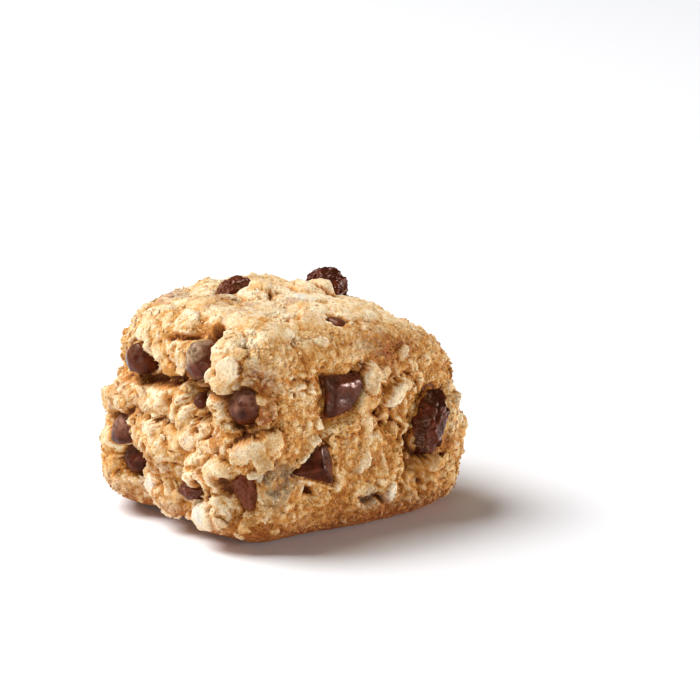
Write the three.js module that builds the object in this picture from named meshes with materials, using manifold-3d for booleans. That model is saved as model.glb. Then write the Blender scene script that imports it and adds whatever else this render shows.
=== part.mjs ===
// Oatmeal cookie bite: a slumped, hand-broken block of baked oat dough with chocolate chips and raisins.
// Millimetres, +Z up. The origin is the centre of the footprint, on the flat base that the bite rests on.
// The front (-Y) is the smoother broken face, the left (-X) the craggy one with a fissure under the crust.
import * as THREE from "three";
import { ConvexGeometry } from "three/addons/geometries/ConvexGeometry.js";
import { mergeVertices } from "three/addons/utils/BufferGeometryUtils.js";
import Module from "manifold-3d";

// Block of dough
const WIDTH = 38; // along X, at half height
const DEPTH = 33.5; // along Y, at half height
const HEIGHT = 29.2;
const CORNER_RADIUS = 7; // of the upright edges, in plan
const TOP_RADIUS = 6.5; // height of the rounding over the top edges
const BASE_RADIUS = 5.5; // height of the rounding under the bottom edges
const FLARE = 0.14; // share by which the foot is wider than the top
const TOP_FALL = 0.045; // share of the height lost across the width, towards +X
const GRID_STEP = 1.65; // spacing of the dough's faces

// Uneven dough: bumps of one size all over, whose height differs from side to side
const CLUMP_SIZE = 4.8;
const CLUMP_HEIGHT = { left: 2.2, right: 1.9, front: 0.8, back: 1.7, top: 1.1, base: 0 };
const BASE_FLAT = 1.2; // the bumps fade out below this height
const SETTLE = 0.2; // what lies lower than this is pressed flat, as the base

// Clumps of oats that stand out as domes: a point of the unit cube, a radius and a height
const CLUMPS = [
  { at: [-1, 0.42, 0.76], radius: 4.6, height: 0.8 },
  { at: [-1, 0.02, 0.76], radius: 4.4, height: 1.0 },
  { at: [-1, 0.05, 0.48], radius: 1.6, height: 1.2 },
  { at: [-1, -0.66, 0.8], radius: 2.6, height: 1.4 },
  { at: [-1, -0.68, 0.57], radius: 2.4, height: 1.6 },
  { at: [-1, -0.6, 0.28], radius: 2.2, height: 1.3 },
  { at: [-1, 0.18, 0.22], radius: 3.2, height: 1.5 },
  { at: [-1, 0.66, 0.08], radius: 2.8, height: 0.9 },
  { at: [-1, -0.29, 0.04], radius: 2.8, height: 1.1 },
  { at: [-1, 0.1, -0.28], radius: 3.2, height: 1.4 },
  { at: [-1, -0.72, -0.18], radius: 3.4, height: 1.4 },
  { at: [-1, -0.45, -0.36], radius: 3.0, height: 1.3 },
  { at: [-1, 0.02, -0.74], radius: 2.6, height: 0.9 },
  { at: [-1, -0.62, -0.64], radius: 2.6, height: 1.2 },
  { at: [-0.88, -1, -0.03], radius: 2.4, height: 1.0 },
  { at: [-0.87, -1, 0.3], radius: 1.8, height: 1.0 },
  { at: [-0.74, -1, 0.8], radius: 3.2, height: 0.6 },
  { at: [0.08, -1, 0.42], radius: 1.5, height: 0.6 },
  { at: [0.28, -1, 0.24], radius: 1.8, height: 0.7 },
  { at: [0.51, -1, -0.5], radius: 1.8, height: 1.0 },
  { at: [-0.29, -0.01, 1], radius: 2.4, height: 1.0 },
  { at: [0.22, -0.02, 1], radius: 2.6, height: 1.0 },
  { at: [1, 0.05, 0.72], radius: 3.2, height: 1.0 },
  { at: [1, -0.28, 0.02], radius: 3.2, height: 1.2 },
  { at: [1, -0.68, -0.22], radius: 3.0, height: 0.6 },
  { at: [1, 0.32, -0.42], radius: 3.4, height: 1.3 },
  { at: [1, 0.8, 0.2], radius: 2.8, height: 1.0 },
  { at: [-0.3, 1, 0.7], radius: 3.2, height: 1.1 },
  { at: [0.4, 1, 0.55], radius: 3.0, height: 1.2 },
  { at: [0.42, 1, 0.02], radius: 3.4, height: 1.3 },
  { at: [-0.4, 1, -0.04], radius: 3.2, height: 1.3 },
  { at: [0.55, 1, -0.5], radius: 3.0, height: 1.0 },
];

// Oat flakes that stand out of the dough: thin lenses
const FLAKE_COUNT = 44;
const FLAKE_RADIUS = 2.2;
const FLAKE_THICKNESS = 1.1;
const FLAKE_TILT = 0.2; // radians, the most that a flake leans out of the surface

// What is set in the dough sits in a pocket with this much air round it
const POCKET_GAP = 0.3;

// Hollows: a point of the unit cube, a reach and a depth
const HOLLOWS = [
  { at: [-0.95, 0.85, 0.95], reach: 12, depth: 1.7 },
  { at: [-0.95, -0.95, -0.9], reach: 7, depth: 0.9 },
  { at: [-1, 0.2, -1], reach: 12, depth: 1.1 },
  { at: [-1, -0.55, -1], reach: 4, depth: 0.5 },
  { at: [0.95, -0.95, -0.9], reach: 7, depth: 0.8 },
  { at: [-0.4, -1, -1], reach: 9, depth: 0.6 },
  { at: [0.36, -0.08, 1], reach: 4, depth: 0.9 },
  { at: [0.68, -0.66, 1], reach: 7, depth: 1.2 },
  { at: [0.84, -0.84, 0.9], reach: 5, depth: 0.7 },
  { at: [-1, 0.42, -0.48], reach: 3.6, depth: 1.6 },
  { at: [-1, -0.4, 0.86], reach: 3.4, depth: 2.0 },
  { at: [-1, 0.24, 0.46], reach: 2.6, depth: 1.6 },
  { at: [-1, -0.8, -0.36], reach: 2.4, depth: 1.4 },
  { at: [-1, -0.18, -0.6], reach: 2.6, depth: 1.4 },
  { at: [-1, -0.74, 0.42], reach: 1.8, depth: 1.0 },
  { at: [0.22, -1, 0.08], reach: 3.2, depth: 0.9 },
  { at: [0.4, -1, -0.32], reach: 2.4, depth: 1.0 },
  { at: [-0.48, -1, -0.46], reach: 2.2, depth: 0.5 },
  { at: [1, 0.1, 0.2], reach: 4.0, depth: 1.5 },
  { at: [-0.1, 1, 0.1], reach: 4.2, depth: 1.6 },
];

// Runs of hollows: the fissure under the crust on the left, and the top edge that crumbled off on the right
const RUNS = [
  { from: [-1, 0.95, 0.3], to: [-1, -0.25, 0.4], steps: 6, reach: 2.4, depth: 1.5 },
  { from: [0.95, -0.75, 0.97], to: [0.95, 0.95, 0.97], steps: 4, reach: 11, depth: 2.1 },
];

// Broken pieces of chocolate: corners about a point on the dough's surface, with the broken face towards -Y.
// A slab has a flat face inside a sloping rim, a wedge three sides that meet in a blunt ridge.
const FRAGMENTS = {
  slab: [
    [-1.7, -0.9, 1.8], [2.6, -0.6, 1.7], [3.5, -0.5, 0.5],
    [0.4, -0.9, -2.5], [-2.3, -0.9, -2.8], [-2.2, -1.1, 0.4],
    [-2.7, 0.4, 2.9], [2.9, 0.4, 2.5], [-3.0, 0.4, 0.9], [-3.1, 0.2, -3.2],
    [-1.5, 4, 1.4], [1.8, 4, 1.2], [1.2, 4, -1.6], [-1.6, 4, -1.8],
  ],
  wedge: [
    [0.9, -0.5, 3.0], [2.1, 0, 2.9], [-3.8, 0, -0.4], [2.7, -0.5, -2.9],
    [3.2, 0, 0.6], [3.1, 0.2, -2.4], [0.6, -1.7, 0.1],
    [-1.5, 4, 0.6], [1.8, 4, 1.6], [1.8, 4, -1.6], [-0.5, 4, -0.8],
  ],
};

// Chocolate chips: a point of the unit cube, the depth of the centre under the dough there, the way the tip
// points and the diameter. A broken chip has its fragment instead, with the way that points into the dough.
const CHIPS = [
  { at: [-1, 0.42, 0.49], sunk: 0.2, tip: [-0.5, -0.2, 0.8], size: 5.8 },
  { at: [-1, -0.4, 0.66], sunk: 0.1, tip: [-0.6, 0.2, 0.7], size: 6.4 },
  { at: [-1, 0.56, -0.2], sunk: 0.6, tip: [-0.3, 0.2, 0.9], size: 5.8 },
  { at: [-1, 0.48, -0.48], sunk: 0.6, tip: [-0.8, -0.3, -0.3], size: 5.2 },
  { at: [-1, -0.31, 0.26], sunk: 0.4, tip: [-0.9, -0.2, 0.3], size: 2.6 },
  { at: [-1, -0.92, 0.32], sunk: 0.9, tip: [-0.7, -0.6, 0.3], size: 5.4 },
  { at: [-0.17, -1, 0.34], sunk: 0.2, tip: [0, 1, 0], fragment: "slab" },
  { at: [-0.44, -1, -0.26], sunk: 0.2, tip: [0, 1, 0], fragment: "wedge" },
  { at: [-0.05, -0.9, 1], sunk: 2.5, tip: [0.9, 0.2, -0.1], size: 5.4 },
  { at: [0.1, 1, 0.66], sunk: 0.9, tip: [0.3, 0.8, 0.4], size: 6.0 },
  { at: [1, -0.42, 0.38], sunk: 0.9, tip: [0.8, -0.3, 0.4], size: 6.4 },
  { at: [1, 0.5, -0.02], sunk: 0.7, tip: [0.2, 0.6, 0.7], size: 6.0 },
  { at: [1, -0.08, -0.5], sunk: 0.3, tip: [-1, 0.1, 0], fragment: "slab" },
  { at: [-0.55, 1, 0.35], sunk: 0.8, tip: [-0.4, 0.7, 0.5], size: 6.2 },
  { at: [0.12, 1, -0.3], sunk: 1.6, tip: [0.6, 0.5, -0.5], size: 6.6 },
  { at: [0.64, 1, 0.3], sunk: 0.8, tip: [0.1, 0.8, 0.6], size: 5.8 },
  { at: [-0.72, 1, -0.42], sunk: 1.0, tip: [-0.3, 0.9, 0.1], size: 5.8 },
];

// Raisins: as the chips, with the way that the long axis runs and the length, width and thickness
const RAISINS = [
  { at: [0.57, -1, -0.11], sunk: 0.6, along: [0.3, 0, 1], size: [9.6, 5.0, 4.8] },
  { at: [0.49, 0.14, 1], sunk: -0.6, along: [0.9, -0.2, -0.2], size: [5.6, 5.4, 5.6] },
  { at: [-0.28, 0.24, 1], sunk: 0.2, along: [1, 0.4, 0.1], size: [6.4, 4.6, 4.4] },
  { at: [-1, -0.34, -0.5], sunk: 0.4, along: [0.1, -1, 0.3], size: [5.2, 2.8, 3.0] },
  { at: [-1, -0.93, -0.38], sunk: 0.8, along: [0, 0.2, 1], size: [6.4, 3.6, 3.4] },
  { at: [1, 0.55, 0.6], sunk: 0.9, along: [0, 1, 0.4], size: [8.6, 5.4, 4.8] },
  { at: [-0.2, 1, -0.72], sunk: 1.0, along: [1, 0, 0.2], size: [8.2, 5.0, 4.6] },
];

const wasm = await Module();
wasm.setup();

/** Fraction from 0 to 1 that depends only on the three numbers and the seed. */
function scatter(x, y, z, seed) {
  const wave = Math.sin(x * 127.1 + y * 311.7 + z * 74.7 + seed * 53.3) * 43758.5453;
  return wave - Math.floor(wave);
}

/** Height of a field of rounded lumps at a point, from 0 in the creases to 1 on the crowns. */
function lump(point, size) {
  const at = point.clone().divideScalar(size);
  const cell = at.clone().floor();
  let nearest = Infinity;
  for (let i = -1; i <= 1; i++)
    for (let j = -1; j <= 1; j++)
      for (let k = -1; k <= 1; k++) {
        const corner = new THREE.Vector3(cell.x + i, cell.y + j, cell.z + k);
        const jitter = [1, 2, 3].map((seed) => scatter(corner.x, corner.y, corner.z, seed));
        nearest = Math.min(nearest, corner.add(new THREE.Vector3(...jitter)).distanceToSquared(at));
      }
  return 1 - Math.min(1, nearest);
}

/** Point and outward normal of the smooth, flared block under a point of the cube from -1 to 1. */
function blockAt(cube) {
  const half = new THREE.Vector3(WIDTH, DEPTH, HEIGHT).divideScalar(2);
  const radius = new THREE.Vector3(CORNER_RADIUS, CORNER_RADIUS, cube.z > 0 ? TOP_RADIUS : BASE_RADIUS);
  const reach = half.clone().sub(radius);
  const spread = cube.clone().multiply(half);
  const core = spread.clone().clamp(reach.clone().negate(), reach);
  const round = spread.sub(core).divide(radius).normalize();
  const point = core.add(round.clone().multiply(radius));
  const level = point.z / HEIGHT + 0.5;
  const flare = 1 + FLARE * (0.5 - level);
  point.set(point.x * flare, point.y * flare, level * HEIGHT * (1 - (TOP_FALL * point.x) / WIDTH));
  return { point, normal: round.divide(radius).normalize() };
}

/** Height of the bumps where a normal points: the six sides' heights, shared by the normal's squares. */
function bumpHeight(normal) {
  const { left, right, front, back, top, base } = CLUMP_HEIGHT;
  const sides = [normal.x < 0 ? left : right, normal.y < 0 ? front : back, normal.z < 0 ? base : top];
  return sides[0] * normal.x ** 2 + sides[1] * normal.y ** 2 + sides[2] * normal.z ** 2;
}

/** The hollows of the list and of the runs, with their centres in millimetres. */
function allHollows() {
  const single = HOLLOWS.map((h) => ({ ...h, centre: blockAt(new THREE.Vector3(...h.at)).point }));
  const inRuns = RUNS.flatMap((run) => {
    const line = new THREE.LineCurve3(new THREE.Vector3(...run.from), new THREE.Vector3(...run.to));
    return line.getPoints(run.steps - 1).map((at) => ({ ...run, centre: blockAt(at).point }));
  });
  return [...single, ...inRuns];
}
const hollows = allHollows();
const clumps = CLUMPS.map((c) => ({ ...c, centre: blockAt(new THREE.Vector3(...c.at)).point }));

/** Height of a round dome at a point: an ellipse's height over the distance from the centre. */
function domeHeight({ centre, radius, height }, point) {
  return height * Math.sqrt(Math.max(0, 1 - point.distanceToSquared(centre) / radius ** 2));
}

/** Point and normal of the uneven dough: the block, raised by bumps and clumps and sunk by hollows. */
function doughAt(cube) {
  const { point, normal } = blockAt(cube);
  const highest = Math.max(...clumps.map((c) => domeHeight(c, point)));
  const rise = highest + bumpHeight(normal) * (lump(point, CLUMP_SIZE) - 0.5);
  const sink = hollows.reduce(
    (sum, h) => sum + h.depth * Math.exp(-point.distanceToSquared(h.centre) / (h.reach / 2) ** 2 / 2),
    0,
  );
  const foot = THREE.MathUtils.smoothstep(point.z, 0, BASE_FLAT);
  point.addScaledVector(normal, foot * rise - sink);
  const pressed = SETTLE * (1 - THREE.MathUtils.smoothstep(point.z, 0, 10 * SETTLE));
  point.z = Math.max(0, point.z - pressed);
  return { point, normal };
}

/** A geometry with its seams closed: vertices that meet are shared, and faces without area left out. */
function closed(geometry) {
  const bare = new THREE.BufferGeometry();
  bare.setAttribute("position", geometry.getAttribute("position"));
  bare.setIndex(geometry.index);
  const merged = mergeVertices(bare, 1e-4);
  const corners = merged.index.array;
  const kept = [];
  for (let i = 0; i < corners.length; i += 3) {
    const face = [corners[i], corners[i + 1], corners[i + 2]];
    if (new Set(face).size === 3) kept.push(...face);
  }
  return merged.setIndex(kept);
}

/** Solid of a closed geometry. */
function solidOf(geometry) {
  const vertProperties = geometry.getAttribute("position").array;
  const triVerts = new Uint32Array(geometry.index.array);
  return new wasm.Manifold(new wasm.Mesh({ numProp: 3, vertProperties, triVerts }));
}

/** Geometry of a solid's largest body, without scraps. */
function geometryOf(solid) {
  const mesh = solid
    .decompose()
    .reduce((a, b) => (a.volume() > b.volume() ? a : b))
    .getMesh();
  const geometry = new THREE.BufferGeometry();
  geometry.setAttribute("position", new THREE.BufferAttribute(mesh.vertProperties, 3));
  geometry.setIndex(new THREE.BufferAttribute(mesh.triVerts, 1));
  geometry.computeVertexNormals();
  return geometry;
}

/** Moves every vertex of a geometry to where a function puts it. */
function reshape(geometry, move) {
  const position = geometry.getAttribute("position");
  const vertex = new THREE.Vector3();
  for (let i = 0; i < position.count; i++) {
    position.setXYZ(i, ...move(vertex.fromBufferAttribute(position, i)));
  }
  return geometry;
}

/** The bare block of dough, from a box whose faces are pulled onto the dough's surface. */
function doughGeometry() {
  const steps = [WIDTH, DEPTH, HEIGHT].map((length) => Math.round(length / GRID_STEP));
  return reshape(closed(new THREE.BoxGeometry(2, 2, 2, ...steps)), (cube) => doughAt(cube.clone()).point);
}

/** Oat flakes: thin oval lenses, spread by the golden angle over sides and top, each with its own lean. */
function flakeGeometries(keepClear) {
  const flakes = [];
  const golden = Math.PI * (3 - Math.sqrt(5));
  for (let i = 0; i < FLAKE_COUNT; i++) {
    const [draw, turn, lean, length] = [1, 2, 3, 4].map((seed) => scatter(i, 0, 0, seed));
    const up = 1 - (1.4 * (i + 0.5)) / FLAKE_COUNT;
    const ring = Math.sqrt(1 - up * up);
    const cube = new THREE.Vector3(ring * Math.cos(i * golden), ring * Math.sin(i * golden), up);
    cube.divideScalar(Math.max(...cube.toArray().map(Math.abs)));
    const { point, normal } = doughAt(cube);
    if (keepClear.some((c) => c.centre.distanceTo(point) < c.reach + 0.8 * FLAKE_RADIUS)) continue;
    const radius = FLAKE_RADIUS * (0.7 + 0.5 * draw);
    const flake = closed(new THREE.SphereGeometry(1, 7, 3));
    flake.scale(radius, FLAKE_THICKNESS / 2, radius * (0.6 + 0.3 * length));
    flake.rotateY(2 * Math.PI * turn).rotateX(FLAKE_TILT * (2 * lean - 1));
    flake.applyQuaternion(new THREE.Quaternion().setFromUnitVectors(new THREE.Vector3(0, 1, 0), normal));
    flakes.push(flake.translate(...point));
  }
  return flakes;
}

/** A chocolate drop about its own centre: a flat round base and a domed cone up to the tip, along +Y. */
function dropGeometry(size) {
  const radius = size / 2;
  const base = -0.3 * size;
  const tip = 0.46 * size;
  const profile = new THREE.Path()
    .moveTo(0, base)
    .lineTo(0.62 * radius, base)
    .quadraticCurveTo(radius, base, radius, base + 0.22 * size)
    .bezierCurveTo(radius, 0.12 * size, 0.55 * radius, 0.36 * size, 0, tip)
    .getPoints(3);
  return closed(new THREE.LatheGeometry(profile, 11));
}

/** A whole chip or a broken one: the smallest body round the fragment's corners. */
function chipGeometry({ size, fragment }) {
  if (!fragment) return dropGeometry(size);
  return closed(new ConvexGeometry(FRAGMENTS[fragment].map((corner) => new THREE.Vector3(...corner))));
}

/** A raisin about its own centre: a plump oval along +Y with a few broad wrinkles. */
function raisinGeometry({ size }) {
  const [length, width, thickness] = size;
  const oval = reshape(closed(new THREE.SphereGeometry(0.5, 10, 7)), (vertex) =>
    vertex.multiplyScalar(1 + 0.06 * Math.sin(9 * Math.atan2(vertex.z, vertex.x) + 7 * vertex.y)),
  );
  return oval.scale(width, length, thickness);
}

/** A named mesh, set so that its +Y runs along a direction and its centre lies under a point of the dough. */
function setInDough(name, geometry, material, { at, sunk }, direction) {
  const mesh = new THREE.Mesh(geometry, material);
  const { point, normal } = doughAt(new THREE.Vector3(...at));
  mesh.name = name;
  mesh.position.copy(point.addScaledVector(normal, -sunk));
  mesh.quaternion.setFromUnitVectors(new THREE.Vector3(0, 1, 0), new THREE.Vector3(...direction).normalize());
  mesh.updateMatrixWorld(true);
  return mesh;
}

/** The pocket round a mesh: its own shape, grown about the middle of its box by the gap. */
function pocketOf(mesh) {
  mesh.geometry.computeBoundingBox();
  const size = mesh.geometry.boundingBox.getSize(new THREE.Vector3());
  const middle = mesh.geometry.boundingBox.getCenter(new THREE.Vector3());
  const grown = [size.x, size.y, size.z].map((length) => 1 + (2 * POCKET_GAP) / length);
  const pocket = mesh.geometry.clone().translate(-middle.x, -middle.y, -middle.z).scale(...grown);
  return solidOf(pocket.translate(...middle).applyMatrix4(mesh.matrixWorld));
}

/** Every chip and raisin as its own mesh, numbered in the order of the lists. */
function inclusions() {
  const chocolate = new THREE.MeshStandardMaterial({ color: 0x4a2a20, roughness: 0.42, metalness: 0 });
  const fruit = new THREE.MeshStandardMaterial({ color: 0x33191a, roughness: 0.34, metalness: 0 });
  const label = (kind, i) => `${kind}_${String(i + 1).padStart(2, "0")}`;
  const chips = CHIPS.map((c, i) => setInDough(label("chip", i), chipGeometry(c), chocolate, c, c.tip));
  const raisins = RAISINS.map((r, i) => setInDough(label("raisin", i), raisinGeometry(r), fruit, r, r.along));
  return [...chips, ...raisins];
}

/** The dough with its flakes fused on and a pocket for every inclusion. */
function doughMesh(pieces) {
  const keepClear = pieces.map((mesh) => {
    mesh.geometry.computeBoundingSphere();
    return { centre: mesh.position, reach: mesh.geometry.boundingSphere.radius };
  });
  const floor = closed(new THREE.BoxGeometry(2 * WIDTH, 2 * DEPTH, HEIGHT)).translate(0, 0, -HEIGHT / 2);
  let solid = solidOf(doughGeometry());
  for (const flake of flakeGeometries(keepClear)) solid = solid.add(solidOf(flake));
  for (const piece of pieces) solid = solid.subtract(pocketOf(piece));
  solid = solid.subtract(solidOf(floor));
  const baked = new THREE.MeshStandardMaterial({ color: 0xcf9f62, roughness: 0.88, metalness: 0 });
  const mesh = new THREE.Mesh(geometryOf(solid), baked);
  mesh.name = "dough";
  return mesh;
}

const bite = new THREE.Group();
const pieces = inclusions();
bite.add(doughMesh(pieces), ...pieces);

export default bite;
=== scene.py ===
"""Looks of an oatmeal cookie bite: craggy baked oat dough with chocolate chips and raisins set in it.

Sizes are in millimetres until a mesh is written, in the part's own frame: +Z up, the smoother broken face
towards -Y, the craggy face with the fissure towards -X, and the origin on the base.
"""

import logging
from dataclasses import dataclass, field
from enum import Enum

import bpy
import numpy as np
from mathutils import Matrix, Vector
from numpy.typing import NDArray


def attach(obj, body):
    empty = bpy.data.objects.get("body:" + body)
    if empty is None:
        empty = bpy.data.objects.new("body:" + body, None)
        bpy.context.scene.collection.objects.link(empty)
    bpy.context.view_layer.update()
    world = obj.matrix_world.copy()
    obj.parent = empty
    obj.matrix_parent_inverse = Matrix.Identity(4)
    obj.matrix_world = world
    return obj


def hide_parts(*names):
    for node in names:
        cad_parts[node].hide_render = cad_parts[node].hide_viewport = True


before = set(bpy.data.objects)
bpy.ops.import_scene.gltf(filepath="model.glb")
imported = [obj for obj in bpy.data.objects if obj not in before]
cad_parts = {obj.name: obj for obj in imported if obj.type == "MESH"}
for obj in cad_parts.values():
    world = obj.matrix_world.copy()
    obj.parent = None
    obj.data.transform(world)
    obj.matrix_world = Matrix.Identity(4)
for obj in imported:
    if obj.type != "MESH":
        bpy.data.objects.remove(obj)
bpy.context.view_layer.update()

Array = NDArray[np.float64]
Faces = NDArray[np.int64]
Colour = tuple[float, float, float]
Place = tuple[float, float, float]
Socket = bpy.types.NodeSocket
Material = bpy.types.Material
Piece = bpy.types.Object
MM = 0.001
BODY = "root"
CRUST = "crust"
LOG = logging.getLogger("cookie_bite")


class Slot(Enum):
    """Material slots of the record."""

    DOUGH = "dough"
    CHOCOLATE = "chocolate"
    RAISIN = "raisin"


# Fields of numbers over space


def unit(vectors: Array) -> Array:
    """Vectors of the same directions with length 1."""
    return vectors / np.linalg.norm(vectors, axis=-1, keepdims=True)


def smoothstep(low: float, high: float, value: Array) -> Array:
    """Soft step from 0 at low to 1 at high: 3t^2 - 2t^3 of the clipped fraction t."""
    t = np.clip((value - low) / (high - low), 0, 1)
    return t * t * (3 - 2 * t)


def bell(value: Array, middle: float, width: float) -> Array:
    """1 at a middle and less on both sides: e to the minus square of the distance over the width."""
    return np.exp(-(((value - middle) / width) ** 2))


def scatter(cells: Array, seed: float) -> Array:
    """Fraction from 0 to 1 for every cell: what follows the point in a large sine of a weighted sum.

    Args:
        cells: Whole-number cell coordinates, (..., 3).
        seed: Number that tells one field from another.

    Returns:
        One fraction per cell.
    """
    wave = np.sin(cells @ np.array([127.1, 311.7, 74.7]) + seed * 53.3) * 43758.5453
    return wave - np.floor(wave)


def noise(points: Array, size: float, seed: float, octaves: int = 1) -> Array:
    """Smooth noise from about -1 to 1.

    Random values on the corners of cubes are blended by a soft step; each further octave has half the size
    and half the weight.

    Args:
        points: Places, (n, 3).
        size: Side of the largest cubes.
        seed: Number that tells one field from another.
        octaves: How many layers are added.

    Returns:
        One value per point.
    """
    total = np.zeros(len(points))
    corners = np.array(np.meshgrid([0, 1], [0, 1], [0, 1])).reshape(3, -1).T
    for octave in range(octaves):
        at = points / size * 2**octave + 17.3 * octave
        cell = np.floor(at)
        blend = smoothstep(0, 1, at - cell)
        layer = np.zeros(len(points))
        for corner in corners:
            weight = np.prod(np.where(corner, blend, 1 - blend), axis=1)
            layer += weight * scatter(cell + corner, seed + octave)
        total += (2 * layer - 1) / 2**octave
    return total / (2 - 0.5 ** (octaves - 1))


def drift(points: Array, size: float, reach: float, seed: float) -> Array:
    """Points moved to and fro by three noises, so that what is worked out from them has no straight lines."""
    return points + reach * np.column_stack([noise(points, size, seed + 7 * k, 2) for k in range(3)])


@dataclass(frozen=True)
class Cells:
    """Space split into irregular cells round jittered seeds.

    Attributes:
        first: Distance to the nearest seed, in cell sizes.
        second: Distance to the second nearest seed.
        owner: Whole-number coordinates of the nearest seed's cube.
    """

    first: Array
    second: Array
    owner: Array

    @classmethod
    def over(cls, points: Array, size: float, seed: float = 0.0) -> "Cells":
        """Cells at some points: the two nearest of the seeds in the 27 cubes round each point.

        Args:
            points: Places, (n, 3).
            size: Side of the cubes that hold one seed each.
            seed: Number that tells one field from another.

        Returns:
            The cells.
        """
        at = points / size
        cube = np.floor(at)
        first = np.full(len(points), np.inf)
        second = np.full(len(points), np.inf)
        owner = np.zeros_like(points)
        for offset in np.array(np.meshgrid(*[[-1, 0, 1]] * 3)).reshape(3, -1).T:
            corner = cube + offset
            jitter = np.column_stack([scatter(corner, seed + k) for k in (1, 2, 3)])
            distance = np.linalg.norm(corner + jitter - at, axis=1)
            nearer = distance < first
            second = np.where(nearer, first, np.minimum(second, distance))
            owner[nearer] = corner[nearer]
            first = np.where(nearer, distance, first)
        return cls(first, second, owner)

    def lump(self) -> Array:
        """Height of rounded lumps, 1 on the crowns and 0 in the creases: 1 less the squared distance."""
        return 1 - np.minimum(1, self.first**2)

    def crease(self, width: float) -> Array:
        """1 on the border between cells, falling off as a bell over a width in cell sizes."""
        return bell(self.second - self.first, 0.0, width)

    def tone(self, seed: float) -> Array:
        """A fraction that is the same all over each cell."""
        return scatter(self.owner, seed)


# Meshes


def box_lattice(steps: tuple[int, int, int]) -> tuple[Array, Faces]:
    """Closed grid over the surface of the cube from -1 to 1.

    Each side is a grid of whole-number lattice places, and places that sides share are merged.

    Args:
        steps: Faces along X, Y and Z.

    Returns:
        Vertices (n, 3) and outward quads (m, 4).
    """
    counts = np.array(steps)
    strides = np.array([(counts[1] + 1) * (counts[2] + 1), counts[2] + 1, 1])
    quads = []
    for axis in range(3):
        u, v = (axis + 1) % 3, (axis + 2) % 3
        i, j = (a.ravel() for a in np.meshgrid(np.arange(counts[u]), np.arange(counts[v]), indexing="ij"))
        first = i * strides[u] + j * strides[v]
        across = first + strides[u]
        ring = np.column_stack([first, across, across + strides[v], first + strides[v]])
        quads += [ring[:, ::-1], ring + counts[axis] * strides[axis]]
    keys, flat = np.unique(np.concatenate(quads), return_inverse=True)
    rows = keys // strides[1] % (counts[1] + 1)
    lattice = np.column_stack([keys // strides[0], rows, keys % (counts[2] + 1)])
    return 2.0 * lattice / counts - 1, flat.reshape(-1, 4)


def write_mesh(
    name: str, vertices: Array, faces: Faces, crust: Array | None = None, smooth: bool = True
) -> Piece:
    """New mesh object at the origin.

    Args:
        name: Name of the piece.
        vertices: Places in millimetres, (n, 3).
        faces: Vertex numbers of triangles or quads, (m, 3 or 4).
        crust: Four numbers per vertex that the finish reads, (n, 4).
        smooth: Whether the shading is smooth.

    Returns:
        The object, linked to the scene.
    """
    mesh = bpy.data.meshes.new(name)
    sides = faces.shape[1]
    mesh.vertices.add(len(vertices))
    mesh.vertices.foreach_set("co", (vertices * MM).astype(np.float32).ravel())
    mesh.loops.add(faces.size)
    mesh.loops.foreach_set("vertex_index", faces.astype(np.int32).ravel())
    mesh.polygons.add(len(faces))
    mesh.polygons.foreach_set("loop_start", np.arange(0, faces.size, sides, dtype=np.int32))
    mesh.polygons.foreach_set("use_smooth", np.full(len(faces), smooth))
    mesh.update(calc_edges=True)
    if crust is not None:
        attribute = mesh.color_attributes.new(CRUST, "FLOAT_COLOR", "POINT")
        attribute.data.foreach_set("color", crust.astype(np.float32).ravel())
    piece = bpy.data.objects.new(name, mesh)
    bpy.context.scene.collection.objects.link(piece)
    return piece


def repeat_mesh(shape: Array, faces: Faces, copies: int) -> Faces:
    """Faces of many copies of one shape, each copy's vertex numbers following the last one's."""
    starts = np.arange(copies) * len(shape)
    return (faces[None] + starts[:, None, None]).reshape(-1, faces.shape[1])


def frames_along(normals: Array, turns: Array) -> Array:
    """Right-handed axes whose third is a normal, turned about it.

    The first axis is the part of a fixed direction at right angles to the normal, turned by the angle.

    Args:
        normals: Unit vectors, (n, 3).
        turns: Angles in radians, (n,).

    Returns:
        Axes as rows, (n, 3, 3).
    """
    helper = np.where(np.abs(normals[:, 2:]) < 0.9, [[0.0, 0.0, 1.0]], [[1.0, 0.0, 0.0]])
    first = unit(np.cross(helper, normals))
    second = np.cross(normals, first)
    cos, sin = np.cos(turns)[:, None], np.sin(turns)[:, None]
    return np.stack([cos * first + sin * second, cos * second - sin * first, normals], axis=1)


# Finishes


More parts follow.
